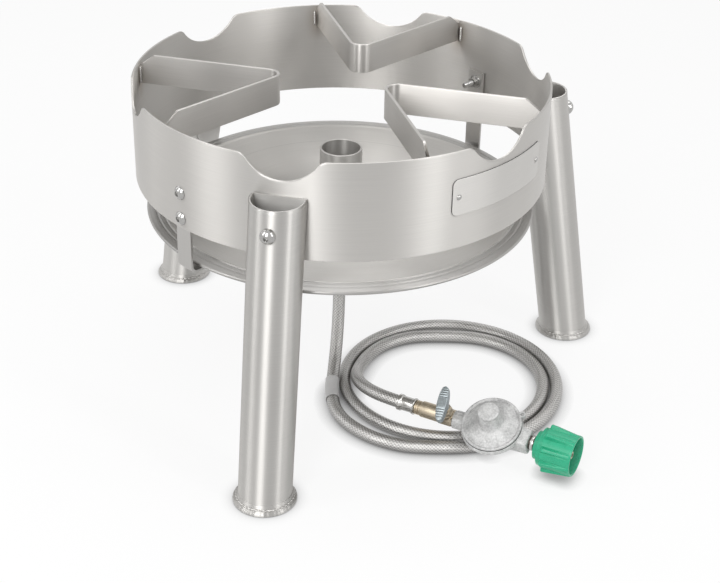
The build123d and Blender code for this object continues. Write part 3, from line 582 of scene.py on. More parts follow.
def braid_finish():
    """Bright wire: fine lines slant both ways across the bands; painted shade darkens the gaps between wires,
    and more so where the weave sinks between bands.
    """
    material, tree, shader = new_finish("braid_wire")
    flat = add_node(tree, "UVMap", uv_map="flat").outputs[0]
    lines = []
    for lean in (WIRE_LEAN, -WIRE_LEAN):
        slanted = mapped(tree, flat, Rotation=(0.0, 0.0, lean))
        inputs = {"Vector": slanted, "Scale": WIRE_SCALE, "Distortion": 0.4}
        wave = add_node(tree, "TexWave", inputs, wave_type="BANDS", bands_direction="Y")
        lines.append(wave.outputs["Fac"])
    wires = blended(tree, painted(tree, "on_top"), *lines)
    tint = colour_steps(tree, wires, (0.05, WIRE_SHADE), (0.55, WIRE_LIGHT))
    # Painted shade: the colour darkens where the weave sinks between bands.
    sunk_shade = colour_steps(tree, painted(tree, "crown"), (0.1, 0.16), (0.75, 1.0))
    inputs = {
        "Base Color": multiplied(tree, tint, sunk_shade),
        "Normal": bumped(tree, wires, 0.5, 0.0002),
        "Metallic": 1.0,
        "Roughness": 0.34,
    }
    set_inputs(tree, shader, inputs)
    return material


hose_mm = hose_line / MM
crown, on_top = braid_height(full_turn(HOSE_TURN)[None], run_length(hose_mm)[:, None])
hose_grid = tube_grid(hose_mm, HOSE_RADIUS - BRAID_HEIGHT + BRAID_HEIGHT * crown)
hose_nodes = ["hose_drop", "hose_coil", "hose_tail"]
hose_marks = {"crown": crown, "on_top": on_top}
hose = make_piece("gas_hose", [hose_grid], braid_finish(), hose_nodes, sharp=80.0, marks=hose_marks)

# %% [markdown]
# ## Windscreen ring
# A strip of sheet is rolled and welded into a ring, and six scallops are cut in its top edge. A
# boolean cut would leave untidy faces, so the ring is one grid instead: the angle runs round it, the
# outline of the sheet's own section is the other way, and the top edge sinks where a scallop is. On
# the inner wall a mark says how near each point is to a weld, and the finish darkens there.

# %% Windscreen ring
RING_R, RING_WALL, RING_TOP, RING_BOTTOM = 203.0, 2.0, 322.0, 226.0
NOTCH_HALF, NOTCH_DEPTH, NOTCH_SHOULDER = 41.0, 20.5, 10.0
LEG_AZIMUTHS = {"right": 15.0, "rear": 135.0, "front": 255.0}
SUPPORT_AZIMUTHS = {"rear": 75.0, "left": 195.0, "right": 315.0}
WELD_ANGLE = radians(22.8)
SCORCH_Z, SCORCH_WIDE, SCORCH_TALL = 306.0, 9.0, 15.0


def scallop(offset):
    """Drop of the edge at a sideways offset: a round bowl between two rounded shoulders, 0 outside."""
    bowl = (NOTCH_HALF**2 + NOTCH_DEPTH**2) / (2 * NOTCH_DEPTH) - NOTCH_SHOULDER
    join = NOTCH_HALF * bowl / (bowl + NOTCH_SHOULDER)
    y = np.abs(offset)
    hollow = -NOTCH_DEPTH + bowl - np.sqrt(np.maximum(bowl**2 - y**2, 0.0))
    shoulder = -NOTCH_SHOULDER + np.sqrt(np.maximum(NOTCH_SHOULDER**2 - (NOTCH_HALF - y) ** 2, 0.0))
    return np.where(y < join, hollow, np.where(y < NOTCH_HALF, shoulder, 0.0))


def ring_grid(steps=1080):
    """Rolled sheet: (r cos turn, r sin turn, z), where z runs from the bottom edge to the scalloped one."""
    turn = full_turn(steps)[:, None]
    sixth = pi / 3
    from_notch = (turn - radians(LEG_AZIMUTHS["right"]) + sixth / 2) % sixth - sixth / 2
    top = RING_TOP + scallop(RING_R * np.sin(from_notch))
    inset = np.array([0, 0, 0, 0.25, 1, 1.75, 2, 2, 2, 2, 2, 2, 2, 2, 1.75, 1, 0.25, 0, 0, 0])
    from_top = [40, 2.0, 0.6, 0.15, 0, 0.15, 0.6, 2.0, 8, 16, 26, 40]
    from_bottom = [40, 2.0, 0.15, 0, 0.15, 0.6, 2.0]
    sink = np.array(from_top + from_bottom + [40])
    upper = np.array([True] * len(from_top) + [False] * len(from_bottom) + [True])
    z = np.where(upper, top - sink, RING_BOTTOM + sink)
    radius = RING_R - inset + 0.0 * turn
    points = np.stack([radius * np.cos(turn), radius * np.sin(turn), z], axis=2)
    return grid_of(points, turn * RING_R, z + 3.0 * inset)


ring = ring_grid()
ring_turn = np.arctan2(ring[..., 1], ring[..., 0])
scorch = np.zeros(ring.shape[:2])
for azimuth in SUPPORT_AZIMUTHS.values():
    for side in (-1.0, 1.0):
        off = (ring_turn - radians(azimuth) - side * WELD_ANGLE + pi) % TURN - pi
        away = (off * RING_R / SCORCH_WIDE) ** 2 + ((ring[..., 2] - SCORCH_Z) / SCORCH_TALL) ** 2
        scorch += np.exp(-away)
scorch *= np.hypot(ring[..., 0], ring[..., 1]) < RING_R - RING_WALL / 2
make_piece("ring_sheet", [ring], ring_steel, ["windscreen_ring"], marks={"scorch": np.minimum(scorch, 1.0)})

# %% [markdown]
# ## Pot supports
# Each support is a flat bar on edge, bent to a V whose point faces the middle, with its ends cut to
# the ring and sloped off at the top. The bar's section is carried along one arm, round the bend and
# back along the other; every line of the section runs until it meets the ring or the slope.

# %% Pot supports and their welds
BAR_TOP, BAR_HEIGHT, BAR_THICKNESS = 330.0, 30.0, 3.0
BEND_CENTRE, BEND_RADIUS = 75.0, 11.5
BAR_ANGLE = radians(30.3)
BAR_END, SLOPE_RUN, SLOPE_LOW = 200.8, 15.5, 318.0
WELD_RADIUS, WELD_REACH, WELD_LOW, WELD_RIPPLES = 1.4, 200.2, 299.5, 9
WELD_RUNS = ((-2.3, 318.0), (2.3, 316.0))


def turned_about_z(points, degrees):
    """Points turned about the upright axis."""
    a = radians(degrees)
    spin = np.array([[cos(a), -sin(a), 0], [sin(a), cos(a), 0], [0, 0, 1]])
    return points @ spin.T


def on_azimuth(grid, degrees):
    """A grid made along +X, turned to its azimuth; its flat coordinates stay."""
    return np.concatenate([turned_about_z(grid[..., :3], degrees), grid[..., 3:]], axis=2)


def support_grid(arm_steps=12, bend_steps=17):
    """V of flat bar: centre + (bend + w) normal + t direction on the arms, an arc of that radius between."""
    low, half = BAR_TOP - BAR_HEIGHT, BAR_THICKNESS / 2
    outline = [(0, low), (half, low), (half, SLOPE_LOW), (half, BAR_TOP)]
    outline += [(-half, BAR_TOP), (-half, SLOPE_LOW), (-half, low), (0, low)]
    section = soften(outline, 0.7)
    w, z = section[:, 0], section[:, 1]
    limit = BAR_END - SLOPE_RUN * np.maximum(z - SLOPE_LOW, 0.0) / (BAR_TOP - SLOPE_LOW)
    normal = np.array([-sin(BAR_ANGLE), cos(BAR_ANGLE)])
    out = np.array([cos(BAR_ANGLE), sin(BAR_ANGLE)])
    foot = np.array([BEND_CENTRE, 0.0]) + (BEND_RADIUS + w)[:, None] * normal
    lean = foot @ out
    reach = -lean + np.sqrt(lean**2 - (foot**2).sum(axis=1) + limit**2)
    share = np.linspace(1.0, 0.0, arm_steps)[:, None, None]
    arm = foot[None] + share * reach[None, :, None] * out
    angle = np.linspace(pi / 2 + BAR_ANGLE, 3 * pi / 2 - BAR_ANGLE, bend_steps)[1:-1, None]
    radius = BEND_RADIUS + w
    bend = np.stack([BEND_CENTRE + radius * np.cos(angle), radius * np.sin(angle)], axis=2)
    plan = np.concatenate([arm, bend, arm[::-1] * np.array([1.0, -1.0])])
    points = np.concatenate([plan, np.broadcast_to(z, plan.shape[:2])[..., None]], axis=2)
    return closed_ends(grid_of(points, run_length(plan.mean(axis=1))[:, None], run_length(section)))


def bead_grid(line, seed):
    """Weld bead: a tube round a line, its radius rippled along the run and drawn in at both ends."""
    s = np.linspace(0.0, 1.0, len(line))[:, None]
    swell = WELD_RADIUS * (1 + 0.16 * np.cos(TURN * WELD_RIPPLES * s + seed))
    swell = swell * np.clip(10 * s, 0, 1) ** 0.5 * np.clip(10 * (1 - s), 0, 1) ** 0.5
    turn = full_turn(12)[None]
    return grid_of(round_line(line, swell, turn), 40 * s, turn * WELD_RADIUS)


support = support_grid()
for name, azimuth in SUPPORT_AZIMUTHS.items():
    make_piece("support_" + name, [on_azimuth(support, azimuth)], bar_steel, ["pot_support_" + name])

support_end = support[1, :, :3]
end_low = support_end[support_end[:, 2].argsort()][:2].mean(axis=0)
beads = []
for azimuth in SUPPORT_AZIMUTHS.values():
    for mirror in (1.0, -1.0):
        for aside, high in WELD_RUNS:
            heights = np.linspace(WELD_LOW, high, 40)
            y = mirror * (end_low[1] + aside / cos(BAR_ANGLE)) + 0.0 * heights
            x = np.sqrt(WELD_REACH**2 - y**2)
            line = turned_about_z(np.column_stack([x, y, heights]), azimuth)
            beads.append(bead_grid(line, azimuth + aside))
make_piece("support_welds", beads, weld_steel, sharp=80.0)

# %% [markdown]
# ## Legs
# A leg is a tube that leans in and is cut flat where it meets the ring, so its open top is a D closed
# by a plate. The tube's arc is full at the floor and narrows where the flat cuts it: the half angle
# is the arc cosine of how far the flat lies from the tube's axis. A wall is then given to that skin.

# %% Legs, closing plates and feet
LEG_R, LEG_WALL, FOOT_CIRCLE, LEG_TOP = 25.4, 1.6, 258.0, 287.5
SPLAY = radians(9.6)
PLATE_X, PLATE_THICKNESS = 203.15, 1.5
FOOT_FLOOR = 1.6
LIP_R, NUGGET_R = 28.3, 26.2


def leg_skin(rows=90, columns=96):
    """Level cuts of a leaning tube: x = foot - z tan s + R cos a / cos s, y = R sin a, |a| up to the flat."""
    z = np.linspace(FOOT_FLOOR, LEG_TOP, rows)[:, None]
    middle = FOOT_CIRCLE - z * tan(SPLAY)
    cut = (PLATE_X + PLATE_THICKNESS - middle) * cos(SPLAY) / LEG_R
    a = np.arccos(np.clip(cut, -1.0, 1.0)) * np.linspace(-1.0, 1.0, columns + 1)[None]
    points = np.stack([middle + LEG_R / cos(SPLAY) * np.cos(a), LEG_R * np.sin(a), z + 0.0 * a], axis=2)
    return grid_of(points, a * LEG_R, z / cos(SPLAY))


def plate_grid(rows=60):
    """Flat plate in the cut: at height z it is as wide as the tube is there, with rounded edges."""
    x = PLATE_X + PLATE_THICKNESS
    low = (FOOT_CIRCLE - x - LEG_R / cos(SPLAY)) / tan(SPLAY) + 0.6
    z = (low + (LEG_TOP - low) * np.linspace(0.0, 1.0, rows) ** 1.6)[:, None]
    reach = (x - FOOT_CIRCLE + z * tan(SPLAY)) * cos(SPLAY)
    section = rounded_bar(2.0, PLATE_THICKNESS, 0.35)
    y = np.sqrt(np.maximum(LEG_R**2 - reach**2, 0.01)) * section[:, 0]
    points = np.stack(np.broadcast_arrays(PLATE_X + PLATE_THICKNESS / 2 + section[:, 1], y, z), axis=2)
    return closed_ends(grid_of(points, y, z))


def upright(centre, lean=0.0):
    """Frame for a turned piece on an upright axis, which may lean towards -X by the given slope."""
    return np.array(centre, float), X, Y, np.array([-lean, 0.0, 1.0])


def nuggets(turn, height, radius):
    """Weld spots round the foot: the bead swells 40 times a turn."""
    return radius + 0.3 * np.cos(40 * turn) * (radius > NUGGET_R)


def rippled_lip(turn, height, radius):
    """Hammered lip of the foot: its edge moves in and out by a tenth of a millimetre."""
    return radius + 0.1 * (np.cos(26 * turn) + np.cos(41 * turn + 1.0)) * (radius > LIP_R)


foot_outline = [
    (0, 0), (0, 29.2), (0.9, 30.0), (2.4, 30.1), (3.5, 29.5), (4.2, 28.5), (4.7, 27.6), (6.4, 26.7),
    (9.0, 25.9), (9.0, 0),
]
bead_swing = np.linspace(-1.6, 2.6, 9)
weld_outline = [(4.8, 25.6)] + [(5.2 + 0.9 * sin(a), 27.0 + 0.9 * cos(a)) for a in bead_swing]
foot_frame = upright((FOOT_CIRCLE, 0.0, 0.0), tan(SPLAY))
foot_grid = lathe(soften(foot_outline, 0.5), foot_frame, 216, rippled_lip)
foot_bead = lathe(weld_outline, foot_frame, 432, nuggets)
for name, azimuth in LEG_AZIMUTHS.items():
    leg = make_piece("leg_skin_" + name, [on_azimuth(leg_skin(), azimuth)], leg_steel, ["leg_tube_" + name])
    give_wall(leg, LEG_WALL)
    make_piece("leg_flat_" + name, [on_azimuth(plate_grid(), azimuth)], mill_steel, ["leg_plate_" + name])
    make_piece("foot_" + name, [on_azimuth(foot_grid, azimuth)], leg_steel, ["leg_foot_" + name])
    bead = on_azimuth(foot_bead, azimuth)
    make_piece("foot_weld_" + name, [bead], weld_steel, slot="tube_steel", sharp=80.0)

# %% [markdown]
# ## Fasteners
# Dome-headed bolts hold the legs and the straps, with a washer and a nut inside the ring. All are
# turned shapes on an axis that points out from the ring; a nut's radius is also held inside a
# hexagon, which cuts its six flats and leaves the chamfer of the turned blank at the corners.

# %% Bolts, washers and nuts
BOLT_R, HEAD_R, HEAD_RISE = 3.0, 6.7, 3.8
SOCKET_R, SOCKET_DEPTH = 2.4, 2.4
WASHER_R, WASHER_BORE, WASHER_THICKNESS, SADDLE_DEPTH = 7.0, 3.3, 1.4, 1.6
NUT_FLATS, NUT_BORE, NUT_THICKNESS, NUT_CHAMFER = 10.0, 3.15, 5.0, 0.9
BOLT_TAILS = {"leg": 3.0, "strap": 12.0}
LEG_BOLT_Z = 265.5
STRAP_AZIMUTHS = {"left": -136.0, "right": 44.0}
STRAP_BOLT_Z = (261.5, 235.8)
STRAP_WIDTH, STRAP_THICKNESS = 20.0, 2.5
GAP = 0.15


def outward(height):
    """Frame for a turned piece whose axis points out along +X at a height."""
    return height * Z, Y, Z, X


def thread_profile(start, end, radius, pitch):
    """Screw thread in section: a zigzag between the crest and the root."""
    places = np.arange(start, end, pitch / 2)
    depth = np.where(np.arange(len(places)) % 2 == 0, 0.0, 0.45)
    return list(zip(places, radius - depth))


def bolt_profile(seat, tip):
    """Dome head with a key socket, a plain shank, and a thread up to a chamfered tip."""
    ball = (HEAD_R**2 + HEAD_RISE**2) / (2 * HEAD_RISE)
    swing = np.linspace(asin(HEAD_R / ball), asin(SOCKET_R / ball), 10)
    head = [(seat + HEAD_RISE - ball + ball * cos(a), ball * sin(a)) for a in swing]
    thread = thread_profile(tip + 0.8, tip + 20, BOLT_R, 1.0)
    pit = seat + HEAD_RISE - SOCKET_DEPTH
    socket = [(pit + 0.5, SOCKET_R - 0.1), (pit, SOCKET_R - 0.4), (pit, 0)]
    return [(tip, 0), (tip, BOLT_R - 0.8)] + thread + [(seat, BOLT_R), (seat, HEAD_R - 0.2)] + head + socket


def band_outline(start, end, inner, outer):
    """Closed outline of a plain ring."""
    return [(start, inner), (start, outer), (end, outer), (end, inner), (start, inner)]


def washer_profile(start, end):
    """Flat ring with rounded edges."""
    return soften(band_outline(start, end, WASHER_BORE, WASHER_R), 0.4)


def nut_profile(start, end, radius, flats):
    """Turned blank of a nut: chamfered at both faces out to the hexagon's corners."""
    corner = flats / sqrt(3)
    rise = [(start, radius), (start, flats / 2), (start + NUT_CHAMFER, corner)]
    return rise + [(end - NUT_CHAMFER, corner), (end, flats / 2), (end, radius), (start, radius)]


ring_inner = RING_R - RING_WALL
leg_outside = FOOT_CIRCLE - LEG_BOLT_Z * tan(SPLAY) + LEG_R / cos(SPLAY)
leg_seat = leg_outside + WASHER_R * tan(SPLAY) + WASHER_THICKNESS
leg_inner = sqrt(ring_inner**2 - WASHER_R**2) - GAP
strap_outside = sqrt(ring_inner**2 - (STRAP_WIDTH / 2) ** 2) - GAP
strap_inner = strap_outside - STRAP_THICKNESS
fasteners = {
    "leg": [(azimuth, LEG_BOLT_Z, leg_seat, leg_inner) for azimuth in LEG_AZIMUTHS.values()],
    "strap": [(a, z, RING_R + GAP, strap_inner) for a in STRAP_AZIMUTHS.values() for z in STRAP_BOLT_Z],
}
for kind, spots in fasteners.items():
    sets = {"bolt": [], "washer": [], "nut": []}
    for azimuth, height, seat, inner in spots:
        place = outward(height)
        nut_face = inner - WASHER_THICKNESS
        nut_back = nut_face - NUT_THICKNESS
        bolt = lathe(bolt_profile(seat, nut_back - BOLT_TAILS[kind]), place, 48)
        washers = [lathe(washer_profile(nut_face, inner), place, 48)]
        if kind == "leg":
            washers.append(lathe(washer_profile(leg_outside - SADDLE_DEPTH, seat), place, 48))
        blank = nut_profile(nut_back, nut_face, NUT_BORE, NUT_FLATS)
        nut = lathe(blank, place, 72, hexagonal(NUT_FLATS, nut_back, nut_face))
        sets["bolt"].append(on_azimuth(bolt, azimuth))
        sets["washer"] += [on_azimuth(washer, azimuth) for washer in washers]
        sets["nut"].append(on_azimuth(nut, azimuth))
    for part, grids in sets.items():
        make_piece(f"{kind}_{part}_set", grids, bolt_steel, [f"{kind}_{part}s"])

# %% [markdown]
# ## Pan, burner tube and straps
# The pan is spun from one disc: a dish that rises smoothly from a flat floor to a crest, then a ledge
# with a groove and a rolled edge. One closed outline turned once round gives both faces; the ledge is
# a piece of its own, because it takes a darker copy of the pan's steel as painted shade, and a thin
# raised arc in that darker steel draws the crease in the dish as a painted shade line. The straps and
# the bracket are flat bar, a section carried along a bent line.

# %% Pan, burner tube, straps and bracket
PAN_SHEET, PAN_BEAD, PAN_TURN = 1.5, 1.9, 256
LEDGE_R = 178.5
CREASE_Z, CREASE_ROWS = 186.3, 168
pan_top = [
    (184.0, 21.35), (184.0, 88.0), (184.2, 104.0), (184.9, 122.0), (186.0, 140.0), (187.6, 156.0),
    (189.4, 169.0), (190.4, 175.2), (191.3, 177.0), (191.6, 177.8), (191.4, 178.5), (190.8, 179.1),
    (190.6, 179.8), (190.8, 180.6), (190.8, 183.6), (190.2, 184.7), (190.1, 185.5), (190.7, 186.4),
    (190.6, 189.0), (190.0, 191.6),
]
bead_turn = np.linspace(radians(95), radians(-150), 16)
rolled_edge = [(188.2 + PAN_BEAD * sin(a), 192.1 + PAN_BEAD * cos(a)) for a in bead_turn]
pan_under = soften([(z - PAN_SHEET, r) for z, r in reversed(pan_top)], 1.1, 4).tolist()
pan_rise = soften(pan_top, 0.5, 3)
on_ledge = pan_rise[:, 1] > LEDGE_R
pan_dish = pan_under + pan_rise[~on_ledge].tolist()
pan_ledge = [pan_dish[-1]] + pan_rise[on_ledge][:-1].tolist() + rolled_edge + [pan_dish[0]]
centre_frame = upright((0.0, 0.0, 0.0))
lathe_piece("pan_spun", pan_dish, centre_frame, pan_steel, ["burner_pan"], PAN_TURN, sharp=50.0)
# The ledge takes the darker steel as painted shade.
lathe_piece("pan_edge", pan_ledge, centre_frame, painted_shade_steel, segments=PAN_TURN, sharp=50.0)
crease = [(CREASE_Z, 145.5), (186.62, 145.7), (186.65, 146.2), (186.35, 146.4), (CREASE_Z, 145.5)]
crease_grid = lathe(crease, centre_frame, PAN_TURN)[:CREASE_ROWS]
fade = np.sin(np.linspace(0.0, pi, CREASE_ROWS)) ** 0.3
crease_grid[..., 2] = CREASE_Z + (crease_grid[..., 2] - CREASE_Z) * fade[:, None]
# The crease arc is drawn in the darker steel as a painted shade line.
make_piece("pan_crease", [crease_grid], painted_shade_steel)
tube_outline = soften([(158, 20), (158, 21.2), (245, 21.2), (245, 19), (158, 19), (158, 20)], 0.5)
lathe_piece("burner_pipe", tube_outline, centre_frame, pan_steel, ["burner_tube"], 96)


def bent_bar(corners, bend, width):
    """Flat bar along a bent line in the XZ plane: line(s) + a Y + b normal(s), both ends closed."""
    plan = soften(corners, bend, 8)
    slope = np.gradient(plan, axis=0)
    slope /= np.linalg.norm(slope, axis=1, keepdims=True)
    path = plan[:, :1] * X + plan[:, 1:] * Z
    normal = slope[:, :1] * Z - slope[:, 1:] * X
    section = rounded_bar(width, STRAP_THICKNESS, 0.5)
    points = spanned(path[:, None], section[None, :, 0], Y, section[None, :, 1], normal[:, None])
    return closed_ends(grid_of(points, run_length(path)[:, None], run_length(section)))


strap_x = strap_outside - STRAP_THICKNESS / 2
strap_grid = bent_bar([(strap_x, 273.0), (strap_x, 181.25), (128.0, 181.25)], 6.25, STRAP_WIDTH)
for name, azimuth in STRAP_AZIMUTHS.items():
    make_piece("strap_" + name, [on_azimuth(strap_grid, azimuth)], strap_steel, ["hanger_strap_" + name])
bracket_line = [(-22.6, 174.0), (-22.6, 136.75), (22.6, 136.75), (22.6, 174.0)]
make_piece("bracket_bar", [bent_bar(bracket_line, 4.0, 18.0)], strap_steel, ["burner_bracket"])

# %% [markdown]
# ## Jet, swivel nut and ferrules
# Under the burner sit the brass jet with its lock nut, the swivel nut and the hose's ferrule. They
# are all turned from bar, so each is one outline; the hexagons are cut by the same rule as the nuts.

# %% Jet, swivel nut and ferrules
JET_FLATS, SWIVEL_FLATS = 15.0, 17.0
jet_outline = [
    (116, 0), (116, 5.5), (128.5, 5.5), (128.5, 7.5), (129.3, 8.6), (134.7, 8.6), (135.5, 7.5), (135.5, 5),
    *thread_profile(136, 146, 5.0, 1.2), (146, 5), (149, 2), (149, 0),
]
jet_hex = hexagonal(JET_FLATS, 128.5, 135.5)
lathe_piece("jet_turned", jet_outline, centre_frame, brass, ["jet_orifice"], shape=jet_hex)
lock_outline = nut_profile(138.05, 143, 5.15, JET_FLATS)
lock_hex = hexagonal(JET_FLATS, 138, 143)
lathe_piece("jet_nut", lock_outline, centre_frame, brass, ["jet_lock_nut"], shape=lock_hex)
swivel_outline = [
    (113.65, 4.55), (113.65, 8.0), (114.6, 9.8), (126.7, 9.8), (127.65, 8.0), (127.65, 5.6), (113.65, 5.6),
    (113.65, 4.55),
]
swivel_hex = hexagonal(SWIVEL_FLATS, 113.65, 127.65)
lathe_piece(
    "swivel_hex", swivel_outline, centre_frame, brass, ["hose_swivel_nut"], shape=swivel_hex, body="swivel"
)


def ferrule_outline(hose_end):
    """Crimped ferrule: raised rings at both ends, a plain barrel between, a stem beyond the shoulder."""
    shape = [(-11, 6.6), (-11, 8.0), (-10.4, 8.3), (-7.6, 8.3), (-6.9, 8.0), (-6.4, 7.4), (-5.6, 7.3)]
    shape += [(4.4, 7.3), (4.9, 7.5), (5.3, 8.1), (6.0, 8.3), (7.0, 8.3), (7.5, 7.9), (7.8, 6.6)]
    shape += [(7.9, 4.5), (10.3, 4.5), (10.3, 0)]
    return [(hose_end + x, r) for x, r in shape]


lathe_piece("ferrule_top", ferrule_outline(105.5), centre_frame, crimp_steel, ["ferrule_burner"])

# %% [markdown]
# ## Valve
# The valve is brass bar: a grooved root in the ferrule, a plain barrel and a hexagon at the outlet.
# Its stem leans to the viewer and carries a cast wing. The wing is a rounded section carried along
# its length; the section narrows towards both ends and its top is ribbed for the thumb.

# %% Valve body, gland nut, stem and lever
STEM_X = -48.5
LEVER_SEAT, LEVER_TOP = 23.0, 31.5
LEVER_HALF, LEVER_WIDE = 18.2, 5.5
LEVER_REST = radians(11.0)
RIB_PITCH, RIB_DIP = 2.6, 0.22
stem_foot = PIPE_CENTRE + STEM_X * along
pipe_frame = (PIPE_CENTRE, stem_axis, -beside, along)
stem_frame = (stem_foot, along, beside, stem_axis)

valve_outline = [
    (-83, 4.7), (-83, 6.6), (-82.4, 7.2), (-81.4, 7.2), (-81, 6.5), (-80.4, 6.5), (-80, 7.2), (-78.8, 7.2),
    (-78.4, 6.5), (-77.8, 6.5), (-77.4, 7.2), (-76.5, 7.2), (-76.4, 7.6), (-75.8, 8.0), (-56.6, 8.0),
    (-56, 7.9), (-55.2, 9.2), (-42.2, 9.2), (-41.4, 7.8), (-41.4, 6.0), (-30, 6.0), (-30, 0),
]
valve_barrel = lathe(valve_outline, pipe_frame, 96, hexagonal(16.0, -56.2, -41.3))
valve_neck = lathe([(2, 6.8), (11.0, 6.8), (11.5, 6.3), (11.5, 0)], stem_frame, 60)
valve = make_piece("valve_turned", [valve_barrel, valve_neck], brass, ["valve_body"])
gland_outline = [
    (11.5, 3.1), (11.5, 6.5), (12.2, 7.5), (17.1, 7.5), (18, 6.4), (18.2, 5.0), (19.1, 5.0), (19.5, 4.6),
    (19.5, 3.1), (11.5, 3.1),
]
gland_hex = hexagonal(13.0, 11.5, 18.0)
gland = lathe_piece("gland_hex", gland_outline, stem_frame, brass, ["valve_gland_nut"], shape=gland_hex)
stem_outline = soften([(-6, 0), (-6, 4.2), (11.2, 4.2), (11.2, 3), (27, 3), (27, 0)], 0.4)
stem = lathe_piece("stem_turned", stem_outline, stem_frame, brass, ["valve_stem"], 48, body="valve_handle")


def lever_grid(rows=150):
    """Wing: section (a w, height) carried along y; w narrows as (1 - (y/half)^2)^0.65, ribs dip the top."""
    y = np.linspace(-LEVER_HALF, LEVER_HALF, rows)[:, None]
    share = np.abs(y) / LEVER_HALF
    wide = LEVER_WIDE * (0.40 + 0.60 * (1 - share**2) ** 0.65)
    wide = wide * np.minimum(1.0, 12 * (1.002 - share)) ** 0.5
    section = soften([(0, 0), (1.0, 0), (0.9, 1.0), (-0.9, 1.0), (-1.0, 0), (0, 0)], 0.2, 4)
    a, b = section[:, 0], section[:, 1]
    crest = LEVER_TOP - LEVER_SEAT - 1.6 * share**3
    ribs = RIB_DIP * (1 - np.cos(TURN * y / RIB_PITCH)) * (share > 0.26) * (share < 0.93)
    height = b * crest - (b > 0.9) * ribs
    long_way = swung(beside, -along, LEVER_REST)
    short_way = swung(along, beside, LEVER_REST)
    seat = stem_foot + LEVER_SEAT * stem_axis
    points = spanned(seat, y, long_way, wide * a, short_way, height, stem_axis)
    return closed_ends(grid_of(points, y, 6 * a))


hub = lathe(soften([(20.3, 0), (20.3, 5.4), (24.5, 4.8), (24.5, 0)], 0.5), stem_frame, 60)
lever = make_piece("lever_wing", [lever_grid(), hub], lever_zinc, ["valve_lever"], body="valve_handle")
end_outline = ferrule_outline(HOSE_END_X)
ferrule_low = lathe_piece("ferrule_end", end_outline, pipe_frame, crimp_steel, ["ferrule_valve"])

# %% [markdown]
# ## Regulator
# The regulator is cast zinc: a bowl with an outlet boss and a square inlet block, a diaphragm clamped
# between two flanges, and a cover that rises in a cone to the tower over the spring. The bowl and the
# cover are turned shapes; shallow dimples round the flange are cut by lowering its radius a little.

# %% Regulator body, cover and cap
DIMPLES, DIMPLE_Z, DIMPLE_TALL, DIMPLE_DEPTH = 24, 8.6, 0.7, 1.1
BOSS_FLATS = 17.2
VENT_ANGLE, VENT_REACH = radians(37.0), 30.7
reg_frame = (PIPE_CENTRE, along, reg_beside, reg_axis)


def dimples(turn, height, radius):
    """Small dents just under the flange's upper edge, evenly round it."""
    dent = DIMPLE_DEPTH * np.maximum(np.cos(DIMPLES * turn), 0.0) ** 10
    return radius - dent * (radius > 28.0) * np.exp(-(((height - DIMPLE_Z) / DIMPLE_TALL) ** 2))


def blunt_hexagon(turn, height, radius):
    """Boss: most of the way from its turned radius in to a hexagon."""
    return np.minimum(radius, 0.15 * radius + 0.85 * hexagon(turn, BOSS_FLATS))


bowl_outline = [
    (-10, 0), (-10, 14), (-9.2, 15.4), (-2.6, 22.6), (-1.4, 23.4), (2.8, 23.6), (3.8, 24.4), (4.0, 27.6),
    (4.3, 28.9), (5.0, 29.8), (5.9, 30.2), (7.0, 30.2), (7.6, 30.2), (8.1, 30.2), (8.6, 30.2), (9.1, 30.1),
    (9.6, 30.0), (10.3, 29.6), (10.8, 29.0), (11.0, 28.2), (11.0, 0),
]
boss_outline = [(-41, 6.1), (-41, 8.4), (-40, 9.6), (-20, 9.6), (-20, 0)]
block = rounded_bar(19.0, 19.0, 3.0)
block_x = np.array([14.0, 20.0, 36.6, 38.0, 38.7])[:, None]
block_scale = np.array([1.12, 1.06, 1.0, 0.97, 0.9])[:, None]
block_wide, block_tall = block_scale * block[:, 0], block_scale * block[:, 1]
block_points = spanned(PIPE_CENTRE, block_x, along, block_wide, reg_beside, block_tall, reg_axis)
block_grid = closed_ends(grid_of(block_points, block_x, run_length(block)))[1:]
bowl_grid = lathe(bowl_outline, reg_frame, 240, dimples)
boss_grid = lathe(boss_outline, pipe_frame, 96, blunt_hexagon)
regulator = make_piece("regulator_bowl", [bowl_grid, boss_grid, block_grid], zinc, ["regulator_body"])
cover_outline = [
    (11, 24), (11, 28.6), (11.4, 29.1), (12.2, 29.3), (13.2, 29.3), (13.9, 28.9), (14.2, 28.0), (14.0, 27.1),
    (13.2, 26.6), (12.9, 26.2), (13.1, 25.7), (13.9, 24.9), (16.0, 20.9), (17.9, 17.2), (18.9, 15.2),
    (19.6, 14.0), (20.5, 13.1), (22.0, 12.5), (28, 11.45), (34, 10.4), (34, 8.2), (18.4, 8.2), (12.7, 23),
    (12.7, 24), (11, 24),
]
vent_centre = PIPE_CENTRE + VENT_REACH * swung(along, reg_beside, VENT_ANGLE)
vent_outline = soften([(11, 0), (11, 3.4), (15.4, 3.4), (15.4, 1.8), (12.6, 1.8), (12.6, 0)], 0.5)
vent_grid = lathe(vent_outline, (vent_centre, along, reg_beside, reg_axis), 40)
cover_grid = lathe(cover_outline, reg_frame, 240)
cover = make_piece("regulator_dome", [cover_grid, vent_grid], zinc, ["regulator_cover"], sharp=50.0)
cap_outline = [
    (30.2, 0), (30.2, 8.0), (34, 8.0), (34, 9.7), (34.4, 9.7), (34.5, 10.4), (36.3, 10.2), (37.2, 8.8),
    (37.4, 6.6), (37.4, 0),
]
cap = lathe_piece(
    "regulator_lid", soften(cap_outline, 0.4, 5), reg_frame, zinc, ["regulator_cap"], 120, sharp=50.0
)
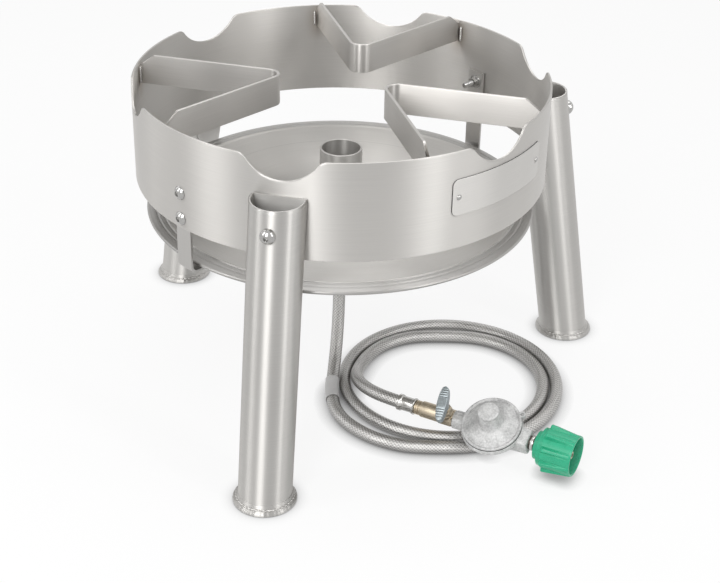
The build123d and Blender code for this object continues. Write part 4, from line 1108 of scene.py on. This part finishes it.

# %% [markdown]
# ## Coupling nut and nipple
# The green nut is moulded: two stepped collars, then a grip that is widest at its back and tapers to
# the mouth, with broad flutes between nine ribs. The flutes come from one rule on the turned radius:
# away from a rib it drops to a floor that is deep at the back and runs out flush at the mouth. On the
# nipple behind it sit a bright collar and a dark band, which is painted shade in the gaps either side
# of the collar.

# %% Nipple, collar and coupling nut
RIBS, FLUTE_TURN = 9, radians(11.3)
RIB_TOP, RIB_FOOT, SEAM_WIDE = np.radians([3.0, 7.0, 1.8])
GRIP_BACK, GRIP_LONG, GRIP_MOUTH = 56.0, 28.6, 84.6
GRIP_R, GRIP_TAPER = 23.8, 3.4
FLUTE_R, FLUTE_RISE, COLLAR_R = 20.0, 0.4, 18.9


def flutes(turn, x, radius):
    """Grip of the nut: between ribs the radius drops to a floor, eased from the rib's top to its foot."""
    pitch = TURN / RIBS
    from_rib = np.abs((turn - FLUTE_TURN) % pitch - pitch / 2)
    ease = np.clip((from_rib - RIB_TOP) / (RIB_FOOT - RIB_TOP), 0.0, 1.0)
    ease = 1.0 - ease * ease * (3.0 - 2.0 * ease)
    deep = np.clip((GRIP_MOUTH - x) / GRIP_LONG, 0.0, 1.0)
    seam = 0.7 * np.exp(-(((from_rib - RIB_FOOT) / SEAM_WIDE) ** 2)) * deep**0.5
    trough = np.minimum(radius, FLUTE_R + FLUTE_RISE * deep) - seam
    return np.where(radius > COLLAR_R, trough + (radius - trough) * ease, radius)


collars = [(46, 6.2), (46, 14), (51, 14), (51, 18.5), (55.6, 18.5), (56, 21.2), (56.4, 23.2)]
grip = [(x, GRIP_R - GRIP_TAPER * (x - GRIP_BACK) / GRIP_LONG) for x in np.linspace(57.2, 83.6, 14)]
mouth = [(84.8, 20.2), (85.4, 19.8), (85.6, 19.2), (85.6, 18.4), (85.0, 17.8)]
bore = [(70, 17.8), (51, 17.8), (51, 6.2), (46, 6.2)]
nut_outline = soften(collars, 0.6).tolist() + grip + mouth + bore
nut_grid = lathe(nut_outline, pipe_frame, 432, flutes)
nut = make_piece("nut_green", [nut_grid], green_plastic, ["coupling_nut"], body="coupling", sharp=50.0)
nipple_outline = [
    (29.7, 0), (29.7, 5.9), (55.6, 5.9), (55.6, 11), (58.6, 11), (58.6, 5), (73.2, 5), (73.3, 4.1),
    (75.7, 4.1), (75.8, 5), (77.5, 5), (81.5, 3.4), (81.5, 2), (70, 2), (70, 0),
]
nipple = lathe_piece("nipple_turned", nipple_outline, pipe_frame, brass, ["inlet_nipple"])
# Painted shade in the gaps either side of the collar.
shade_band = lathe_piece("nipple_shade", band_outline(38.6, 46.4, 5.95, 6.6), pipe_frame, painted_gap_shade)
collar_outline = soften(band_outline(40.4, 43.4, 5.9, 7.5), 0.5)
collar = lathe_piece("nipple_collar", collar_outline, pipe_frame, crimp_steel)

# %% [markdown]
# ## Name plate
# A thin plate with rounded corners follows the ring's curve and is held by two rivets. It is left
# bare. Its height at each place along it is a half-width that shrinks round the corners, so a plain
# grid keeps tidy faces; a wall then gives it thickness, and its rim is painted near black as the
# shade in the gap along its edge.

# %% Bare name plate and rivets
NAME_AZIMUTH, NAME_HALF_ANGLE, RIVET_ANGLE = -43.0, 18.0, 16.0
NAME_LOW, NAME_HIGH, NAME_CORNER = 259.5, 295.5, 6.0
NAME_R, NAME_WALL = RING_R + 0.9, 0.8
RIVET_R, RIVET_RISE, RIVET_DEPTH = 2.6, 1.6, 4.0
name_half = RING_R * sin(radians(NAME_HALF_ANGLE))
name_mid = (NAME_LOW + NAME_HIGH) / 2


def plate_skin(columns=120, rows=40):
    """Rounded rectangle on the ring: (R cos, R sin, z), where z spans less round the corners."""
    s = name_half * np.sin(np.linspace(-pi / 2, pi / 2, columns))[:, None]
    beyond = np.maximum(np.abs(s) - (name_half - NAME_CORNER), 0.0)
    tall = (NAME_HIGH - NAME_LOW) / 2 - NAME_CORNER + np.sqrt(np.maximum(NAME_CORNER**2 - beyond**2, 0.0))
    z = name_mid + tall * np.linspace(-1.0, 1.0, rows)[None]
    a = radians(NAME_AZIMUTH) + np.arcsin(s / NAME_R) + 0.0 * z
    points = np.stack([NAME_R * np.cos(a), NAME_R * np.sin(a), z], axis=2)
    return grid_of(points, s, z - name_mid)


plate = make_piece("plate_bare", [plate_skin()], plate_satin, ["name_plate"])
# The rim's slot takes the painted shade.
plate.data.materials.append(plate_rim_shade)
give_wall(plate, NAME_WALL).material_offset_rim = 1
dome_swing = np.linspace(0.0, pi / 2, 9)
rivet = [(NAME_R + RIVET_RISE * cos(a), RIVET_R * sin(a)) for a in dome_swing]
rivet += [(NAME_R - RIVET_DEPTH, RIVET_R), (NAME_R - RIVET_DEPTH, 0.0)]
rivet_grid = lathe(rivet, outward(name_mid), 40)
rivets = [on_azimuth(rivet_grid, NAME_AZIMUTH + side * RIVET_ANGLE) for side in (-1, 1)]
make_piece("plate_rivets", rivets, bolt_steel, ["name_rivets"])

# %% [markdown]
# ## Parts kept as packed
# What sits inside the regulator and the coupling is out of sight or simple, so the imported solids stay
# and only take a finish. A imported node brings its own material, so its slots are cleared first.

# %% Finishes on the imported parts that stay
kept = {
    "regulator_diaphragm": rubber, "diaphragm_plate": spring_steel, "regulator_spring": spring_steel,
    "regulator_adjuster": black_plastic, "seat_lever": zinc, "seat_lever_pin": bolt_steel,
    "inlet_seat": brass, "nipple_seal": rubber, "coupling_bushing": black_plastic, "lever_screw": bolt_steel,
}
for node, paint in kept.items():
    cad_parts[node].data.materials.clear()
    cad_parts[node].data.materials.append(paint)
print("kept as packed", len(kept))

# %% [markdown]
# ## Label sleeve and what hangs on the hose
# A pale sleeve wraps the hose where it reaches the floor. It follows the hose's own line, a little
# wider. Then the pieces that hang on the hose are gathered in one list.

# %% Label sleeve, and what hangs on the hose
SLEEVE_HALF, SLEEVE_RADIUS, SLEEVE_WALL = 16.2, 7.25, 0.6
sleeve_low, sleeve_high = (np.array(corner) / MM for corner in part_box("hose_sleeve"))
measure = run_length(hose_mm)
nearest = np.linalg.norm(hose_mm - (sleeve_low + sleeve_high) / 2, axis=1).argmin()
inside = np.abs(measure - measure[nearest]) <= SLEEVE_HALF
print("sleeve from", sleeve_low.round(1), "to", sleeve_high.round(1))
sleeve = make_piece("hose_label", [tube_grid(hose_mm[inside], SLEEVE_RADIUS)], label_white, ["hose_sleeve"])
give_wall(sleeve, SLEEVE_WALL)
on_hose = [sleeve, ferrule_low, valve, gland, stem, lever, regulator, cover, cap, nut, nipple, shade_band, collar]
on_hose += [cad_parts[node] for node in kept]
print("pieces on the hose", len(on_hose))
